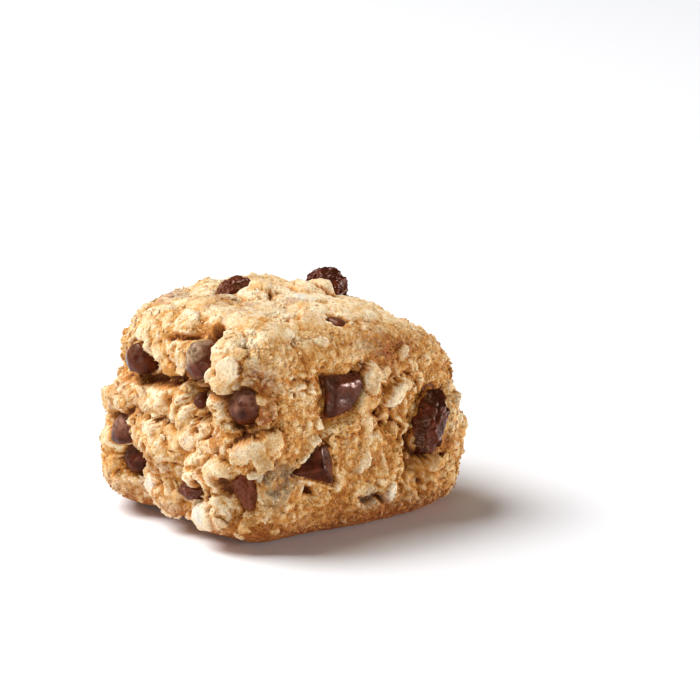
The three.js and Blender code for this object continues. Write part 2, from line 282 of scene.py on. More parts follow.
class Graph:
    """Shader nodes of one material, with the shader that ends them."""

    def __init__(self, name: str) -> None:
        """Starts a material with one Principled shader.

        Args:
            name: Name of the material.
        """
        self.material = bpy.data.materials.new(name)
        self.material.use_nodes = True
        self.tree = self.material.node_tree
        self.shader = self.tree.nodes["Principled BSDF"]
        self.place = self.add("ShaderNodeTexCoord").outputs["Object"]

    def add(self, kind: str, **values: object) -> bpy.types.Node:
        """New node with some of its properties set."""
        node = self.tree.nodes.new(kind)
        for name, value in values.items():
            setattr(node, name, value)
        return node

    def feed(self, socket: Socket, value: object) -> None:
        """Gives an input a link if the value is a socket, and else the value itself."""
        if isinstance(value, Socket):
            self.tree.links.new(value, socket)
        else:
            socket.default_value = value

    def noise(self, size: float, detail: float = 3.0, rough: float = 0.55) -> Socket:
        """Noise texture with blobs of a size in millimetres, as its factor."""
        node = self.add("ShaderNodeTexNoise")
        self.feed(node.inputs["Vector"], self.place)
        node.inputs["Scale"].default_value = 1 / (size * MM)
        node.inputs["Detail"].default_value = detail
        node.inputs["Roughness"].default_value = rough
        return node.outputs[0]

    def grains(self, size: float, bend: float) -> tuple[Socket, Socket]:
        """Irregular grains of a size in millimetres.

        Args:
            size: Spacing of the grains.
            bend: How far noise shifts their borders, in millimetres.

        Returns:
            Distance from the middle of a grain, and a number that differs from grain to grain.
        """
        wave = self.add("ShaderNodeTexNoise")
        self.feed(wave.inputs["Vector"], self.place)
        wave.inputs["Scale"].default_value = 1 / (1.5 * size * MM)
        shift = self.add("ShaderNodeVectorMath", operation="MULTIPLY_ADD")
        self.feed(shift.inputs[0], wave.outputs["Color"])
        shift.inputs[1].default_value = (2 * bend * MM,) * 3
        self.feed(shift.inputs[2], self.place)
        cells = self.add("ShaderNodeTexVoronoi")
        self.feed(cells.inputs["Vector"], shift.outputs[0])
        cells.inputs["Scale"].default_value = 1 / (size * MM)
        split = self.add("ShaderNodeSeparateColor")
        self.feed(split.inputs[0], cells.outputs["Color"])
        return cells.outputs["Distance"], split.outputs[0]

    def math(self, operation: str, *values: object) -> Socket:
        """Result of a Math node."""
        node = self.add("ShaderNodeMath", operation=operation)
        for socket, value in zip(node.inputs, values):
            self.feed(socket, value)
        return node.outputs[0]

    def times(self, first: object, second: object) -> Socket:
        """Product of two values."""
        return self.math("MULTIPLY", first, second)

    def swing(self, value: Socket, amount: float) -> Socket:
        """Value from 0 to 1 carried to an amount of swing about 0."""
        return self.math("MULTIPLY_ADD", value, amount, -amount / 2)

    def span(
        self, value: object, low: float, high: float, to_low: float = 0.0, to_high: float = 1.0
    ) -> Socket:
        """Value carried from one span to another by a soft step, held at both ends."""
        node = self.add("ShaderNodeMapRange", interpolation_type="SMOOTHSTEP")
        for socket, number in zip(node.inputs, (value, low, high, to_low, to_high)):
            self.feed(socket, number)
        return node.outputs[0]

    def mix(self, factor: object, first: object, second: object, blend: str = "MIX") -> Socket:
        """Colour between two colours; plain colours are given as three numbers."""
        node = self.add("ShaderNodeMix", data_type="RGBA", blend_type=blend)
        self.feed(node.inputs[0], factor)
        for socket, value in zip((node.inputs[6], node.inputs[7]), (first, second)):
            self.feed(socket, (*value, 1.0) if isinstance(value, tuple) else value)
        return node.outputs[2]

    def ramp(self, factor: object, stops: dict[float, Colour]) -> Socket:
        """Colour of a ramp with a stop at every position."""
        node = self.add("ShaderNodeValToRGB")
        elements = node.color_ramp.elements
        while len(elements) < len(stops):
            elements.new(0.5)
        for element, (position, colour) in zip(elements, sorted(stops.items())):
            element.position = position
            element.color = (*colour, 1.0)
        self.feed(node.inputs[0], factor)
        return node.outputs[0]

    def crust(self) -> list[Socket]:
        """The four numbers that the mesh carries at every vertex."""
        node = self.add("ShaderNodeVertexColor", layer_name=CRUST)
        split = self.add("ShaderNodeSeparateColor")
        self.feed(split.inputs[0], node.outputs["Color"])
        return [*split.outputs, node.outputs["Alpha"]]

    def bump(self, layers: dict[float, Socket]) -> None:
        """Bump of several heights, each with its depth in millimetres, on the shader's normal."""
        normal = None
        for depth, height in layers.items():
            node = self.add("ShaderNodeBump")
            node.inputs["Strength"].default_value = 1.0
            node.inputs["Distance"].default_value = depth * MM
            self.feed(node.inputs["Height"], height)
            if normal is not None:
                self.feed(node.inputs["Normal"], normal)
            normal = node.outputs[0]
        self.feed(self.shader.inputs["Normal"], normal)

    def set(self, **values: object) -> None:
        """Sets or links inputs of the shader; an underscore in a name stands for a space."""
        for name, value in values.items():
            socket = self.shader.inputs[name.replace("_", " ")]
            is_colour = isinstance(value, tuple) and len(socket.default_value) == 4
            self.feed(socket, (*value, 1.0) if is_colour else value)


@dataclass(frozen=True)
class DoughFinish:
    """Baked oat dough: cream to golden by clump, with browning in patches, painted shade in the creases and a
    sandy grain.

    The vertices carry tone (pale), browning with painted shade towards the base, depth in a crease, and a
    last number that is over a half where chocolate is smeared and under a half where an oat is chalky white.

    Attributes:
        grain: Spacing of the sandy grains.
        grain_bend: How far noise shifts their borders.
        fine: Size of the finest noise, which darkens pores as painted shade.
        crumb: Size of the noise of crumbs.
        blotch: Size of the noise of small patches.
        broad: Size of the noise of large patches.
        glint: Size of the spots that shine.
        swings: How far the tone swings by blotch, by crumb and by large patch.
        bumps: Depths of grains, crumbs and pores.
        gloss: Roughness off and on the spots that shine.
        specular: Level of the reflections.
        glow: Weight of the light that passes under the surface.
        glow_radius: How far red, green and blue go there.
        glow_scale: Length of that radius's unit.
    """

    name: str = "baked_dough"
    deep: Colour = (0.45, 0.15, 0.02)
    golden: Colour = (0.64, 0.295, 0.06)
    light: Colour = (0.80, 0.52, 0.235)
    cream: Colour = (0.95, 0.79, 0.54)
    browned_and_shaded: Colour = (0.33, 0.085, 0.014)
    # The next two colours are painted shade for creases: warm orange first, then near-black.
    amber: Colour = (0.58, 0.215, 0.028)
    crease: Colour = (0.13, 0.03, 0.006)
    speck: Colour = (0.36, 0.11, 0.014)
    smear: Colour = (0.21, 0.135, 0.075)
    chalk: Colour = (0.80, 0.76, 0.68)
    shade: Colour = (0.72, 0.57, 0.43)
    grain: float = 0.36
    grain_bend: float = 0.2
    fine: float = 0.22
    crumb: float = 0.6
    blotch: float = 1.9
    broad: float = 5.0
    glint: float = 0.34
    swings: tuple[float, float, float] = (0.85, 0.55, 0.6)
    bumps: tuple[float, float, float] = (0.11, 0.17, 0.05)
    gloss: tuple[float, float] = (0.75, 0.34)
    specular: float = 0.25
    glow: float = 0.25
    glow_radius: tuple[float, float, float] = (1.0, 0.5, 0.22)
    glow_scale: float = 0.9

    def material(self) -> Material:
        """The material."""
        graph = Graph(self.name)
        tone, brown, crease, mark = graph.crust()
        away, pick = graph.grains(self.grain, self.grain_bend)
        crumb, blotch, fine = graph.noise(self.crumb), graph.noise(self.blotch, 4.0), graph.noise(self.fine)
        for patches, amount in zip((blotch, crumb, graph.noise(self.broad)), self.swings):
            tone = graph.math("ADD", tone, graph.swing(patches, amount))
        colour = graph.ramp(tone, {0.0: self.deep, 0.32: self.golden, 0.62: self.light, 1.0: self.cream})
        # Pale specks at grain cores are pale grains and partly painted glints; dark specks are painted shade
        # in tiny pores.
        core = graph.span(away, 0.25, 0.6, 1.0, 0.0)
        colour = graph.mix(graph.times(core, graph.span(pick, 0.78, 0.98, 0.0, 0.5)), colour, self.cream)
        colour = graph.mix(graph.times(core, graph.span(pick, 0.02, 0.2, 0.4, 0.0)), colour, self.speck)
        # Browning, with painted shade towards the base.
        colour = graph.mix(graph.times(brown, graph.span(crumb, 0.25, 0.6)), colour, self.browned_and_shaded)
        # Painted shade: creases, grooves, pits and gaps round chips and raisins turn warm orange, then
        # near-black, as if lit through the crumb.
        colour = graph.mix(graph.span(crease, 0.08, 0.5, 0.0, 0.8), colour, self.amber)
        colour = graph.mix(graph.span(crease, 0.45, 1.0, 0.0, 0.9), colour, self.crease)
        smear, chalk = graph.span(mark, 0.5, 1.0, 0.0, 0.85), graph.span(mark, 0.0, 0.5, 0.9, 0.0)
        colour = graph.mix(graph.times(smear, graph.span(crumb, 0.25, 0.5)), colour, self.smear)
        colour = graph.mix(chalk, colour, self.chalk)
        # Painted shade in pores: the finest noise darkens the colour.
        colour = graph.mix(graph.span(fine, 0.3, 0.6, 0.6, 0.0), colour, self.shade, "MULTIPLY")
        glints = graph.span(graph.noise(self.glint, 1.0), 0.56, 0.7, *self.gloss)
        graph.set(Base_Color=colour, Roughness=glints, Specular_IOR_Level=self.specular)
        graph.set(Subsurface_Weight=self.glow, Subsurface_Radius=self.glow_radius)
        graph.set(Subsurface_Scale=self.glow_scale * MM)
        graph.bump(dict(zip(self.bumps, (graph.math("SUBTRACT", 1.0, away), crumb, fine))))
        return graph.material


@dataclass(frozen=True)
class ChocolateFinish:
    """Dark chocolate: satin, with scuffs.

    The vertices carry a thin bloom on the upper side, partly a painted highlight, which shows in
    patches, and dough dust.

    Attributes:
        cloud: Size of the noise of the colour.
        scuff: Size of the noise of the scuffs.
        bloom_and_highlight_patches: Size of the patches on the upper side.
        film: Size of the dust's patches.
        bumps: Depths of clouds and scuffs.
        gloss: Least and largest roughness of clean chocolate.
        dulling: How much rougher bloom makes it.
        specular: Level of the reflections.
        sheen: Colour of the reflections.
    """

    name: str = "dark_chocolate"
    dark: Colour = (0.036, 0.006, 0.002)
    light: Colour = (0.11, 0.022, 0.007)
    bloom_and_highlight: Colour = (0.29, 0.125, 0.08)
    dust: Colour = (0.60, 0.42, 0.24)
    cloud: float = 1.6
    scuff: float = 0.5
    bloom_and_highlight_patches: float = 0.9
    film: float = 0.6
    bumps: tuple[float, float] = (0.12, 0.03)
    gloss: tuple[float, float] = (0.19, 0.36)
    dulling: float = 0.25
    specular: float = 0.26
    sheen: Colour = (1.0, 0.62, 0.5)

    def material(self) -> Material:
        """The material."""
        graph = Graph(self.name)
        bloom_and_highlight, dusty, _, _ = graph.crust()
        cloud, scuff = graph.noise(self.cloud, 4.0), graph.noise(self.scuff)
        colour = graph.mix(graph.span(cloud, 0.3, 0.7), self.dark, self.light)
        # Patches on the upper side, partly a painted highlight.
        bloom_and_highlight_patches = graph.times(bloom_and_highlight, graph.span(graph.noise(self.bloom_and_highlight_patches, 5.0), 0.32, 0.68))
        colour = graph.mix(bloom_and_highlight_patches, colour, self.bloom_and_highlight)
        film = graph.times(dusty, graph.span(graph.noise(self.film, 5.0), 0.3, 0.7, 0.1, 0.75))
        colour = graph.mix(film, colour, self.dust)
        rough = graph.math("ADD", graph.span(scuff, 0.3, 0.7, *self.gloss), graph.times(bloom_and_highlight_patches, self.dulling))
        graph.set(Base_Color=colour, Roughness=rough)
        graph.set(Specular_IOR_Level=self.specular, Specular_Tint=self.sheen)
        graph.bump(dict(zip(self.bumps, (cloud, scuff))))
        return graph.material


@dataclass(frozen=True)
class RaisinFinish:
    """Raisin skin: near-black brown, red on the folds, partly its own red and partly painted light through
    the skin, and russet on some raisins.

    The vertices carry the folds, dough dust and how russet the raisin is.

    Attributes:
        cloud: Size of the noise of the colour.
        fine: Size of the noise of dust and gloss.
        bump: Depth of the fine noise.
        gloss: Least and largest roughness of clean skin.
        dulling: How much rougher dust makes it.
        specular: Level of the reflections.
        sheen: Colour of the reflections.
    """

    name: str = "raisin_skin"
    dark: Colour = (0.03, 0.0065, 0.003)
    red: Colour = (0.13, 0.024, 0.009)
    russet: Colour = (0.2, 0.045, 0.015)
    dust: Colour = (0.42, 0.26, 0.13)
    cloud: float = 1.4
    fine: float = 0.28
    bump: float = 0.07
    gloss: tuple[float, float] = (0.12, 0.26)
    dulling: float = 0.4
    specular: float = 0.32
    sheen: Colour = (1.0, 0.64, 0.53)

    def material(self) -> Material:
        """The material."""
        graph = Graph(self.name)
        fold, dusty, russet, _ = graph.crust()
        cloud, fine = graph.noise(self.cloud, 4.0), graph.noise(self.fine)
        # Red on the fold ridges: partly the skin's own red, partly painted light shining through it.
        colour = graph.mix(graph.times(fold, graph.span(cloud, 0.35, 0.65)), self.dark, self.red)
        colour = graph.mix(russet, colour, self.russet)
        film = graph.times(dusty, graph.span(fine, 0.46, 0.6))
        colour = graph.mix(film, colour, self.dust)
        rough = graph.math("ADD", graph.span(fine, 0.3, 0.7, *self.gloss), graph.times(film, self.dulling))
        graph.set(Base_Color=colour, Roughness=rough)
        graph.set(Specular_IOR_Level=self.specular, Specular_Tint=self.sheen)
        graph.bump({self.bump: fine})
        return graph.material


@dataclass(frozen=True)
class FloorFinish:
    """Plain pale matt ground."""

    name: str = "pale_ground"
    colour: Colour = (0.94, 0.942, 0.955)
    roughness: float = 0.9

    def material(self) -> Material:
        """The material."""
        graph = Graph(self.name)
        graph.set(Base_Color=self.colour, Roughness=self.roughness, Specular_IOR_Level=0.0)
        return graph.material


# The block under the dough


@dataclass(frozen=True)
class Block:
    """The smooth block that the dough is built up on: a rounded box, wider at the foot, lower towards +X."""

    width: float = 38.0
    depth: float = 33.5
    height: float = 29.2
    corner_radius: float = 7.0
    top_radius: float = 6.5
    base_radius: float = 5.5
    flare: float = 0.14
    top_fall: float = 0.045

    def at(self, cube: Array) -> tuple[Array, Array]:
        """Points and outward normals under points of the surface of the cube from -1 to 1.

        A point of the box is drawn towards the box less its radii, and put one radius away from there. It is
        then widened below half height, narrowed above, and lowered in proportion to X.

        Args:
            cube: Points of the cube's surface, (n, 3).

        Returns:
            Points and unit normals, both (n, 3).
        """
        half = np.array([self.width, self.depth, self.height]) / 2
        upright = np.where(cube[:, 2] > 0, self.top_radius, self.base_radius)
        radius = np.column_stack([np.full((len(cube), 2), self.corner_radius), upright])
        spread = cube * half
        core = np.clip(spread, radius - half, half - radius)
        bulge = unit((spread - core) / radius)
        point = core + bulge * radius
        level = point[:, 2] / self.height + 0.5
        flare = 1 + self.flare * (0.5 - level)
        fall = 1 - self.top_fall * point[:, 0] / self.width
        place = np.column_stack([point[:, 0] * flare, point[:, 1] * flare, level * self.height * fall])
        return place, unit(bulge / radius)


BLOCK = Block()


# What is set in the dough

NEARBY = 2.2
FAR = 9.0
MISSED = -99.0


@dataclass
class Inclusion:
    """A chip or raisin, worked out from its solid in the frame.

    Attributes:
        node: Name of the solid.
        vertices: The solid's vertices in millimetres.
        faces: Its triangles.
        centre: Middle of its box.
        steps: Faces along each edge of the cube that the surface is grown from.
    """

    node: str
    vertices: Array = field(init=False)
    faces: Faces = field(init=False)
    centre: Array = field(init=False)
    steps: int = 28

    def __post_init__(self) -> None:
        """Reads the solid."""
        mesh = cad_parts[self.node].data
        places = np.empty(3 * len(mesh.vertices), np.float32)
        mesh.vertices.foreach_get("co", places)
        self.vertices = places.reshape(-1, 3).astype(float) / MM
        corners = np.empty(3 * len(mesh.polygons), np.int32)
        mesh.polygons.foreach_get("vertices", corners)
        self.faces = corners.reshape(-1, 3).astype(np.int64)
        self.centre = (self.vertices.min(0) + self.vertices.max(0)) / 2

    @property
    def reach(self) -> float:
        """Largest distance of the solid from its centre."""
        return float(np.linalg.norm(self.vertices - self.centre, axis=1).max())

    def radius(self, directions: Array) -> Array:
        """Distance from the centre to the surface along unit vectors."""
        raise NotImplementedError

    def closeness(self, points: Array) -> Array:
        """Distance from the centre as a share of the radius that way: 1 on the surface, FAR further off."""
        away = points - self.centre
        distance = np.linalg.norm(away, axis=1)
        near = distance < NEARBY * self.reach
        share = np.full(len(points), FAR)
        share[near] = distance[near] / self.radius(away[near] / np.maximum(distance[near], 1e-6)[:, None])
        return share

    def column(self, points: Array, normals: Array) -> Array:
        """How far along its normal each point's line leaves the inclusion, or MISSED if they don't meet."""
        raise NotImplementedError

    def surface(self) -> tuple[Array, Faces, Array]:
        """Directions of the grid, its faces and the smooth radius along each direction."""
        cube, faces = box_lattice((self.steps,) * 3)
        directions = unit(np.tan(cube * np.pi / 4))
        return directions, faces, self.radius(directions)


class ChipState(Enum):
    """What a chip's surface has been through, as amounts of dents, scoops, bloom partly painted as a
    highlight, and dough dust.
    """

    CLEAN = (0.28, 0.34, 0.15, 0.12)
    BROKEN = (0.16, 0.32, 0.1, 0.1)
    BLOOMED_AND_HIGHLIT = (0.2, 0.26, 0.95, 0.1)
    DUSTED = (0.3, 0.34, 0.2, 0.9)
    SUNK = (0.1, 0.0, 0.1, 0.1)


CHIP_STATES = {
    "chip_02": ChipState.DUSTED,
    "chip_03": ChipState.BLOOMED_AND_HIGHLIT,
    "chip_04": ChipState.BROKEN,
    "chip_06": ChipState.BLOOMED_AND_HIGHLIT,
    "chip_07": ChipState.BROKEN,
    "chip_08": ChipState.BROKEN,
    "chip_09": ChipState.SUNK,
    "chip_11": ChipState.BLOOMED_AND_HIGHLIT,
    "chip_13": ChipState.BROKEN,
}


@dataclass
class ChocolateChip(Inclusion):
    """A chocolate drop, whole or broken, with rounded edges and shallow dents.

    Attributes:
        rounding: Power of the mean that rounds its edges off.
        dent_size: Size of the dents; the scoops are larger.
        dusty_side: Direction of the side that dust lies on.
    """

    rounding: float = 22.0
    dent_size: float = 2.0
    dusty_side: Place = (-0.3, 0.6, 0.55)

    def planes(self) -> tuple[Array, Array]:
        """Outward normals of the solid's faces and their distances from the centre, without repeats."""
        corners = self.vertices[self.faces] - self.centre
        normals = unit(np.cross(corners[:, 1] - corners[:, 0], corners[:, 2] - corners[:, 0]))
        distances = np.maximum(np.einsum("ij,ij->i", normals, corners[:, 0]), 0.2)
        planes = np.unique(np.round(np.column_stack([normals, distances]), 3), axis=0)
        return planes[:, :3], planes[:, 3]

    def radius(self, directions: Array) -> Array:
        """Distance to the solid's planes, blended so that edges round off.

        Along a direction each face's plane lies at its distance over the cosine. The power mean of those,
        with a large power, is close to the nearest one and smooth where two are as near.
        """
        normals, distances = self.planes()
        share = np.maximum(directions @ normals.T / distances, 1e-9)
        return np.sum(share**self.rounding, axis=1) ** (-1 / self.rounding)

    def column(self, points: Array, normals: Array) -> Array:
        """Nearest of the planes that a line leaves the solid by, unless it enters by one after that."""
        planes, distances = self.planes()
        slope = normals @ planes.T
        gap = distances - (points - self.centre) @ planes.T
        meets = gap / np.where(np.abs(slope) < 1e-6, 1e-6, slope)
        leaves = np.where(slope > 0, meets, np.inf).min(1)
        enters = np.where(slope < 0, meets, -np.inf).max(1)
        return np.where(leaves > enters, leaves, MISSED)

    def build(self, finish: Material, seed: int) -> Piece:
        """Dense surface: the rounded radius less noise for the dents and the size of a noise for the scoops.

        Args:
            finish: Material of the chip.
            seed: Number that tells this chip's noise from the others'.

        Returns:
            The piece, riding on the body in place of its solid.
        """
        dents, scoops, bloom_and_highlight_amount, dusted = CHIP_STATES.get(self.node, ChipState.CLEAN).value
        directions, faces, radius = self.surface()
        place = directions * radius[:, None]
        uneven = dents * noise(place, self.dent_size, seed, 3) - 0.5 * dents
        uneven = uneven - scoops * np.abs(noise(place, 1.6 * self.dent_size, seed + 20, 2))
        # Bloom on the upper side, partly a painted highlight where light falls on the chip.
        cloudy = directions[:, 2] + 0.6 * noise(place, 2.5, seed + 40, 2)
        bloom_and_highlight = bloom_and_highlight_amount * smoothstep(-0.4, 0.4, cloudy - 0.2)
        upper = directions @ unit(np.array(self.dusty_side))
        dusty = dusted * smoothstep(0.1, 0.6, upper + 0.5 * noise(place, 1.6, seed + 60, 3))
        crust = np.column_stack([bloom_and_highlight, dusty, np.zeros_like(bloom_and_highlight), np.zeros_like(bloom_and_highlight)])
        skin = self.centre + directions * (radius + uneven)[:, None]
        piece = write_mesh(f"{self.node}_piece", skin, faces, crust)
        return settle(piece, finish, Slot.CHOCOLATE, self.node)


RUSSET = {"raisin_02": 0.2, "raisin_03": 0.5, "raisin_04": 0.3, "raisin_05": 0.7}
LEAST_RUSSET = 0.1


@dataclass
class Raisin(Inclusion):
    """A raisin: an oval along the solid's own axes, drawn in between sharp folds.

    Attributes:
        fold_depth: Depth of the folds, as a share of the radius.
        fold_share: Spacing of the folds, as a share of the raisin's reach.
        dust: Most dust that lies on it.
        stretch: How the folds are drawn out along the three axes.
    """

    steps: int = 40
    fold_depth: float = 0.17
    fold_share: float = 0.42
    dust: float = 0.35
    stretch: Place = (1.0, 1.0, 0.55)

    def axes(self) -> tuple[Array, Array]:
        """Directions of the solid's three axes, as rows, and half its length along each."""
        away = self.vertices - self.centre
        axes = np.linalg.eigh(away.T @ away)[1].T
        return axes, np.abs(away @ axes.T).max(0)

    def radius(self, directions: Array) -> Array:
        """Radius of an oval: 1 over the length of the direction measured in half axes."""
        axes, half = self.axes()
        return 1 / np.linalg.norm(directions @ axes.T / half, axis=1)

    def column(self, points: Array, normals: Array) -> Array:
        """Larger root of the quadratic for a line through an oval, with lengths measured in half axes."""
        axes, half = self.axes()
        start = (points - self.centre) @ axes.T / half
        way = normals @ axes.T / half
        a, b, c = np.sum(way**2, axis=1), np.sum(start * way, axis=1), np.sum(start**2, axis=1) - 1
        root = b * b - a * c
        return np.where(root > 0, (np.sqrt(np.maximum(root, 0)) - b) / a, MISSED)

    def build(self, finish: Material, seed: int) -> Piece:
        """Dense surface: the oval, drawn in by folds that run along it.

        The folds are one less the size of a noise that is stretched along the raisin, raised to a power, so
        that they stand as narrow ridges between broad hollows.

        Args:
            finish: Material of the raisin.
            seed: Number that tells this raisin's folds from the others'.

        Returns:
            The piece, riding on the body in place of its solid.
        """
        directions, faces, radius = self.surface()
        axes, _ = self.axes()
        place = directions * radius[:, None]
        along = drift(place @ axes.T * np.array(self.stretch), 2.0, 0.7, seed)
        fold = self.fold_share * self.reach
        folds = 1 - np.abs(noise(along, fold, seed + 3, 2)) * 2.2
        small = 1 - np.abs(noise(along, 0.45 * fold, seed + 5, 2)) * 2.0
        ridge = np.clip(folds, 0, 1) ** 2.0
        drawn = radius * self.fold_depth * (ridge + 0.45 * np.clip(small, 0, 1) ** 2 - 1.1)
        dusty = self.dust * smoothstep(0.2, 0.6, noise(place, 2.0, seed + 60, 3) + 0.2 * (1 - ridge))
        russet = np.full_like(ridge, RUSSET.get(self.node, LEAST_RUSSET))
        crust = np.column_stack([ridge, dusty, russet, np.zeros_like(ridge)])
        skin = self.centre + directions * (radius + drawn)[:, None]
        piece = write_mesh(f"{self.node}_piece", skin, faces, crust)
        return settle(piece, finish, Slot.RAISIN, self.node)


def settle(piece: Piece, finish: Material, slot: Slot, *nodes: str) -> Piece:
    """Gives a piece its finish, its body and the solids that it stands for.

    Args:
        piece: The new object.
        finish: Its material.
        slot: Material slot of the record; not used.
        nodes: Solids that it replaces, if any.

    Returns:
        The same object.
    """
    piece.data.materials.append(finish)
    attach(piece, BODY)
    if nodes:
        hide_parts(*nodes)
    LOG.info("%s: %d faces", piece.name, len(piece.data.polygons))
    return piece


# Dough


@dataclass(frozen=True)
class Spot:
    """A place on the cube's surface, with a reach and an amount."""

    at: Place
    reach: float
    amount: float


@dataclass(frozen=True)
class Run:
    """Spots in a row between two places on the cube's surface."""

    start: Place
    end: Place
    steps: int
    reach: float
    amount: float

    def spots(self) -> list[Spot]:
        """The spots, evenly spaced."""
        line = np.linspace(self.start, self.end, self.steps)
        return [Spot(tuple(at), self.reach, self.amount) for at in line]


@dataclass(frozen=True)
class SideValues:
    """One number for each side of the block, shared out by the squares of a normal."""

    left: float
    right: float
    front: float
    back: float
    top: float
    base: float = 0.0

    def ends(self) -> tuple[Array, Array]:
        """The numbers at the low ends and at the high ends of X, Y and Z."""
        low = np.array([self.left, self.front, self.base])
        high = np.array([self.right, self.back, self.top])
        return low, high

    def over(self, normals: Array) -> Array:
        """The number for every normal."""
        return np.sum(np.where(normals < 0, *self.ends()) * normals**2, axis=1)


@dataclass(frozen=True)
class Groove:
    """A crease along a line of places on the cube's surface."""

    points: list[Place]
    width: float
    depth: float

    def profile(self, points: Array) -> Array:
        """Depth at points of the block: a bell of the distance from the line over the width."""
        line = BLOCK.at(np.array(self.points, float))[0]
        nearest = np.full(len(points), np.inf)
        for start, end in zip(line[:-1], line[1:]):
            along = np.clip((points - start) @ (end - start) / np.sum((end - start) ** 2), 0, 1)
            away = np.linalg.norm(points - start - along[:, None] * (end - start), axis=1)
            nearest = np.minimum(nearest, away)
        return self.depth * bell(nearest, 0.0, self.width)


@dataclass(frozen=True)
class Plate:
    """An oat flake that lies in the dough, with its tilt along and across it.

    Attributes:
        at: Place on the cube's surface.
        length: Half its length.
        narrow: Its width as a share of its length.
        turn: Angle about the block's normal, in radians.
        lift: Height of its middle over the dough.
        tone: How pale it is.
        tilt: Slopes along and across it.
        dome: How far its edge lies below its middle.
    """

    at: Place
    length: float
    narrow: float
    turn: float
    lift: float
    tone: float
    tilt: tuple[float, float] = (0.0, 0.0)
    dome: float = 0.0


# Domed clumps that stand out of the block
CLUMPS = [
    Spot((-1, 0.42, 0.76), 4.6, 0.8),
    Spot((-1, 0.02, 0.76), 4.4, 1.0),
    Spot((-1, 0.05, 0.48), 1.6, 1.2),
    Spot((-1, -0.66, 0.8), 2.6, 1.4),
    Spot((-1, -0.68, 0.57), 2.4, 1.6),
    Spot((-1, -0.6, 0.28), 2.2, 1.3),
    Spot((-1, 0.18, 0.22), 3.2, 1.5),
    Spot((-1, 0.66, 0.08), 2.8, 0.9),
    Spot((-1, -0.29, 0.04), 2.8, 1.1),
    Spot((-1, 0.1, -0.28), 3.2, 1.4),
    Spot((-1, -0.72, -0.18), 3.4, 1.4),
    Spot((-1, -0.45, -0.36), 3.0, 1.3),
    Spot((-1, 0.02, -0.74), 2.6, 0.9),
    Spot((-1, -0.62, -0.64), 2.6, 1.2),
    Spot((-0.88, -1, -0.03), 2.4, 1.0),
    Spot((-0.87, -1, 0.3), 1.8, 1.0),
    Spot((-0.74, -1, 0.8), 3.2, 0.6),
    Spot((0.08, -1, 0.42), 1.5, 0.6),
    Spot((0.28, -1, 0.24), 1.8, 0.7),
    Spot((0.51, -1, -0.5), 1.8, 1.0),
    Spot((-0.29, -0.01, 1), 2.4, 1.0),
    Spot((0.22, -0.02, 1), 2.6, 1.0),
    Spot((1, 0.05, 0.72), 3.2, 1.0),
    Spot((1, -0.28, 0.02), 3.2, 1.2),
    Spot((1, -0.68, -0.22), 3.0, 0.6),
    Spot((1, 0.32, -0.42), 3.4, 1.3),
    Spot((1, 0.8, 0.2), 2.8, 1.0),
    Spot((-0.3, 1, 0.7), 3.2, 1.1),
    Spot((0.4, 1, 0.55), 3.0, 1.2),
    Spot((0.42, 1, 0.02), 3.4, 1.3),
    Spot((-0.4, 1, -0.04), 3.2, 1.3),
    Spot((0.55, 1, -0.5), 3.0, 1.0),
]
# Hollows, the long fissure on the left and the crumbled top edge on the right
HOLLOWS = [
    Spot((-0.95, 0.85, 0.95), 12, 1.7),
    Spot((-0.95, -0.95, -0.9), 7, 0.9),
    Spot((-1, 0.2, -1), 12, 1.1),
    Spot((-1, -0.55, -1), 4, 0.5),
    Spot((0.95, -0.95, -0.9), 7, 0.8),
    Spot((-0.4, -1, -1), 9, 0.6),
    Spot((0.36, -0.08, 1), 4, 0.9),
    Spot((0.68, -0.66, 1), 7, 1.2),
    Spot((0.84, -0.84, 0.9), 5, 0.7),
    Spot((-1, 0.42, -0.48), 3.6, 1.6),
    Spot((-1, -0.4, 0.86), 3.4, 2.0),
    Spot((-1, 0.24, 0.46), 2.6, 1.6),
    Spot((-1, -0.8, -0.36), 2.4, 1.4),
    Spot((-1, -0.18, -0.6), 2.6, 1.4),
    Spot((-1, -0.74, 0.42), 1.8, 1.0),
    Spot((-1, -0.44, 0.24), 2.8, 1.5),
    Spot((0.22, -1, 0.08), 3.2, 0.9),
    Spot((0.4, -1, -0.32), 2.4, 1.0),
    Spot((-0.48, -1, -0.46), 2.2, 0.5),
    Spot((1, 0.1, 0.2), 4.0, 1.5),
    Spot((-0.1, 1, 0.1), 4.2, 1.6),
    *Run((-1, 0.95, 0.3), (-1, -0.25, 0.4), 6, 2.4, 1.5).spots(),
    *Run((0.95, -0.75, 0.97), (0.95, 0.95, 0.97), 4, 11, 2.1).spots(),
]
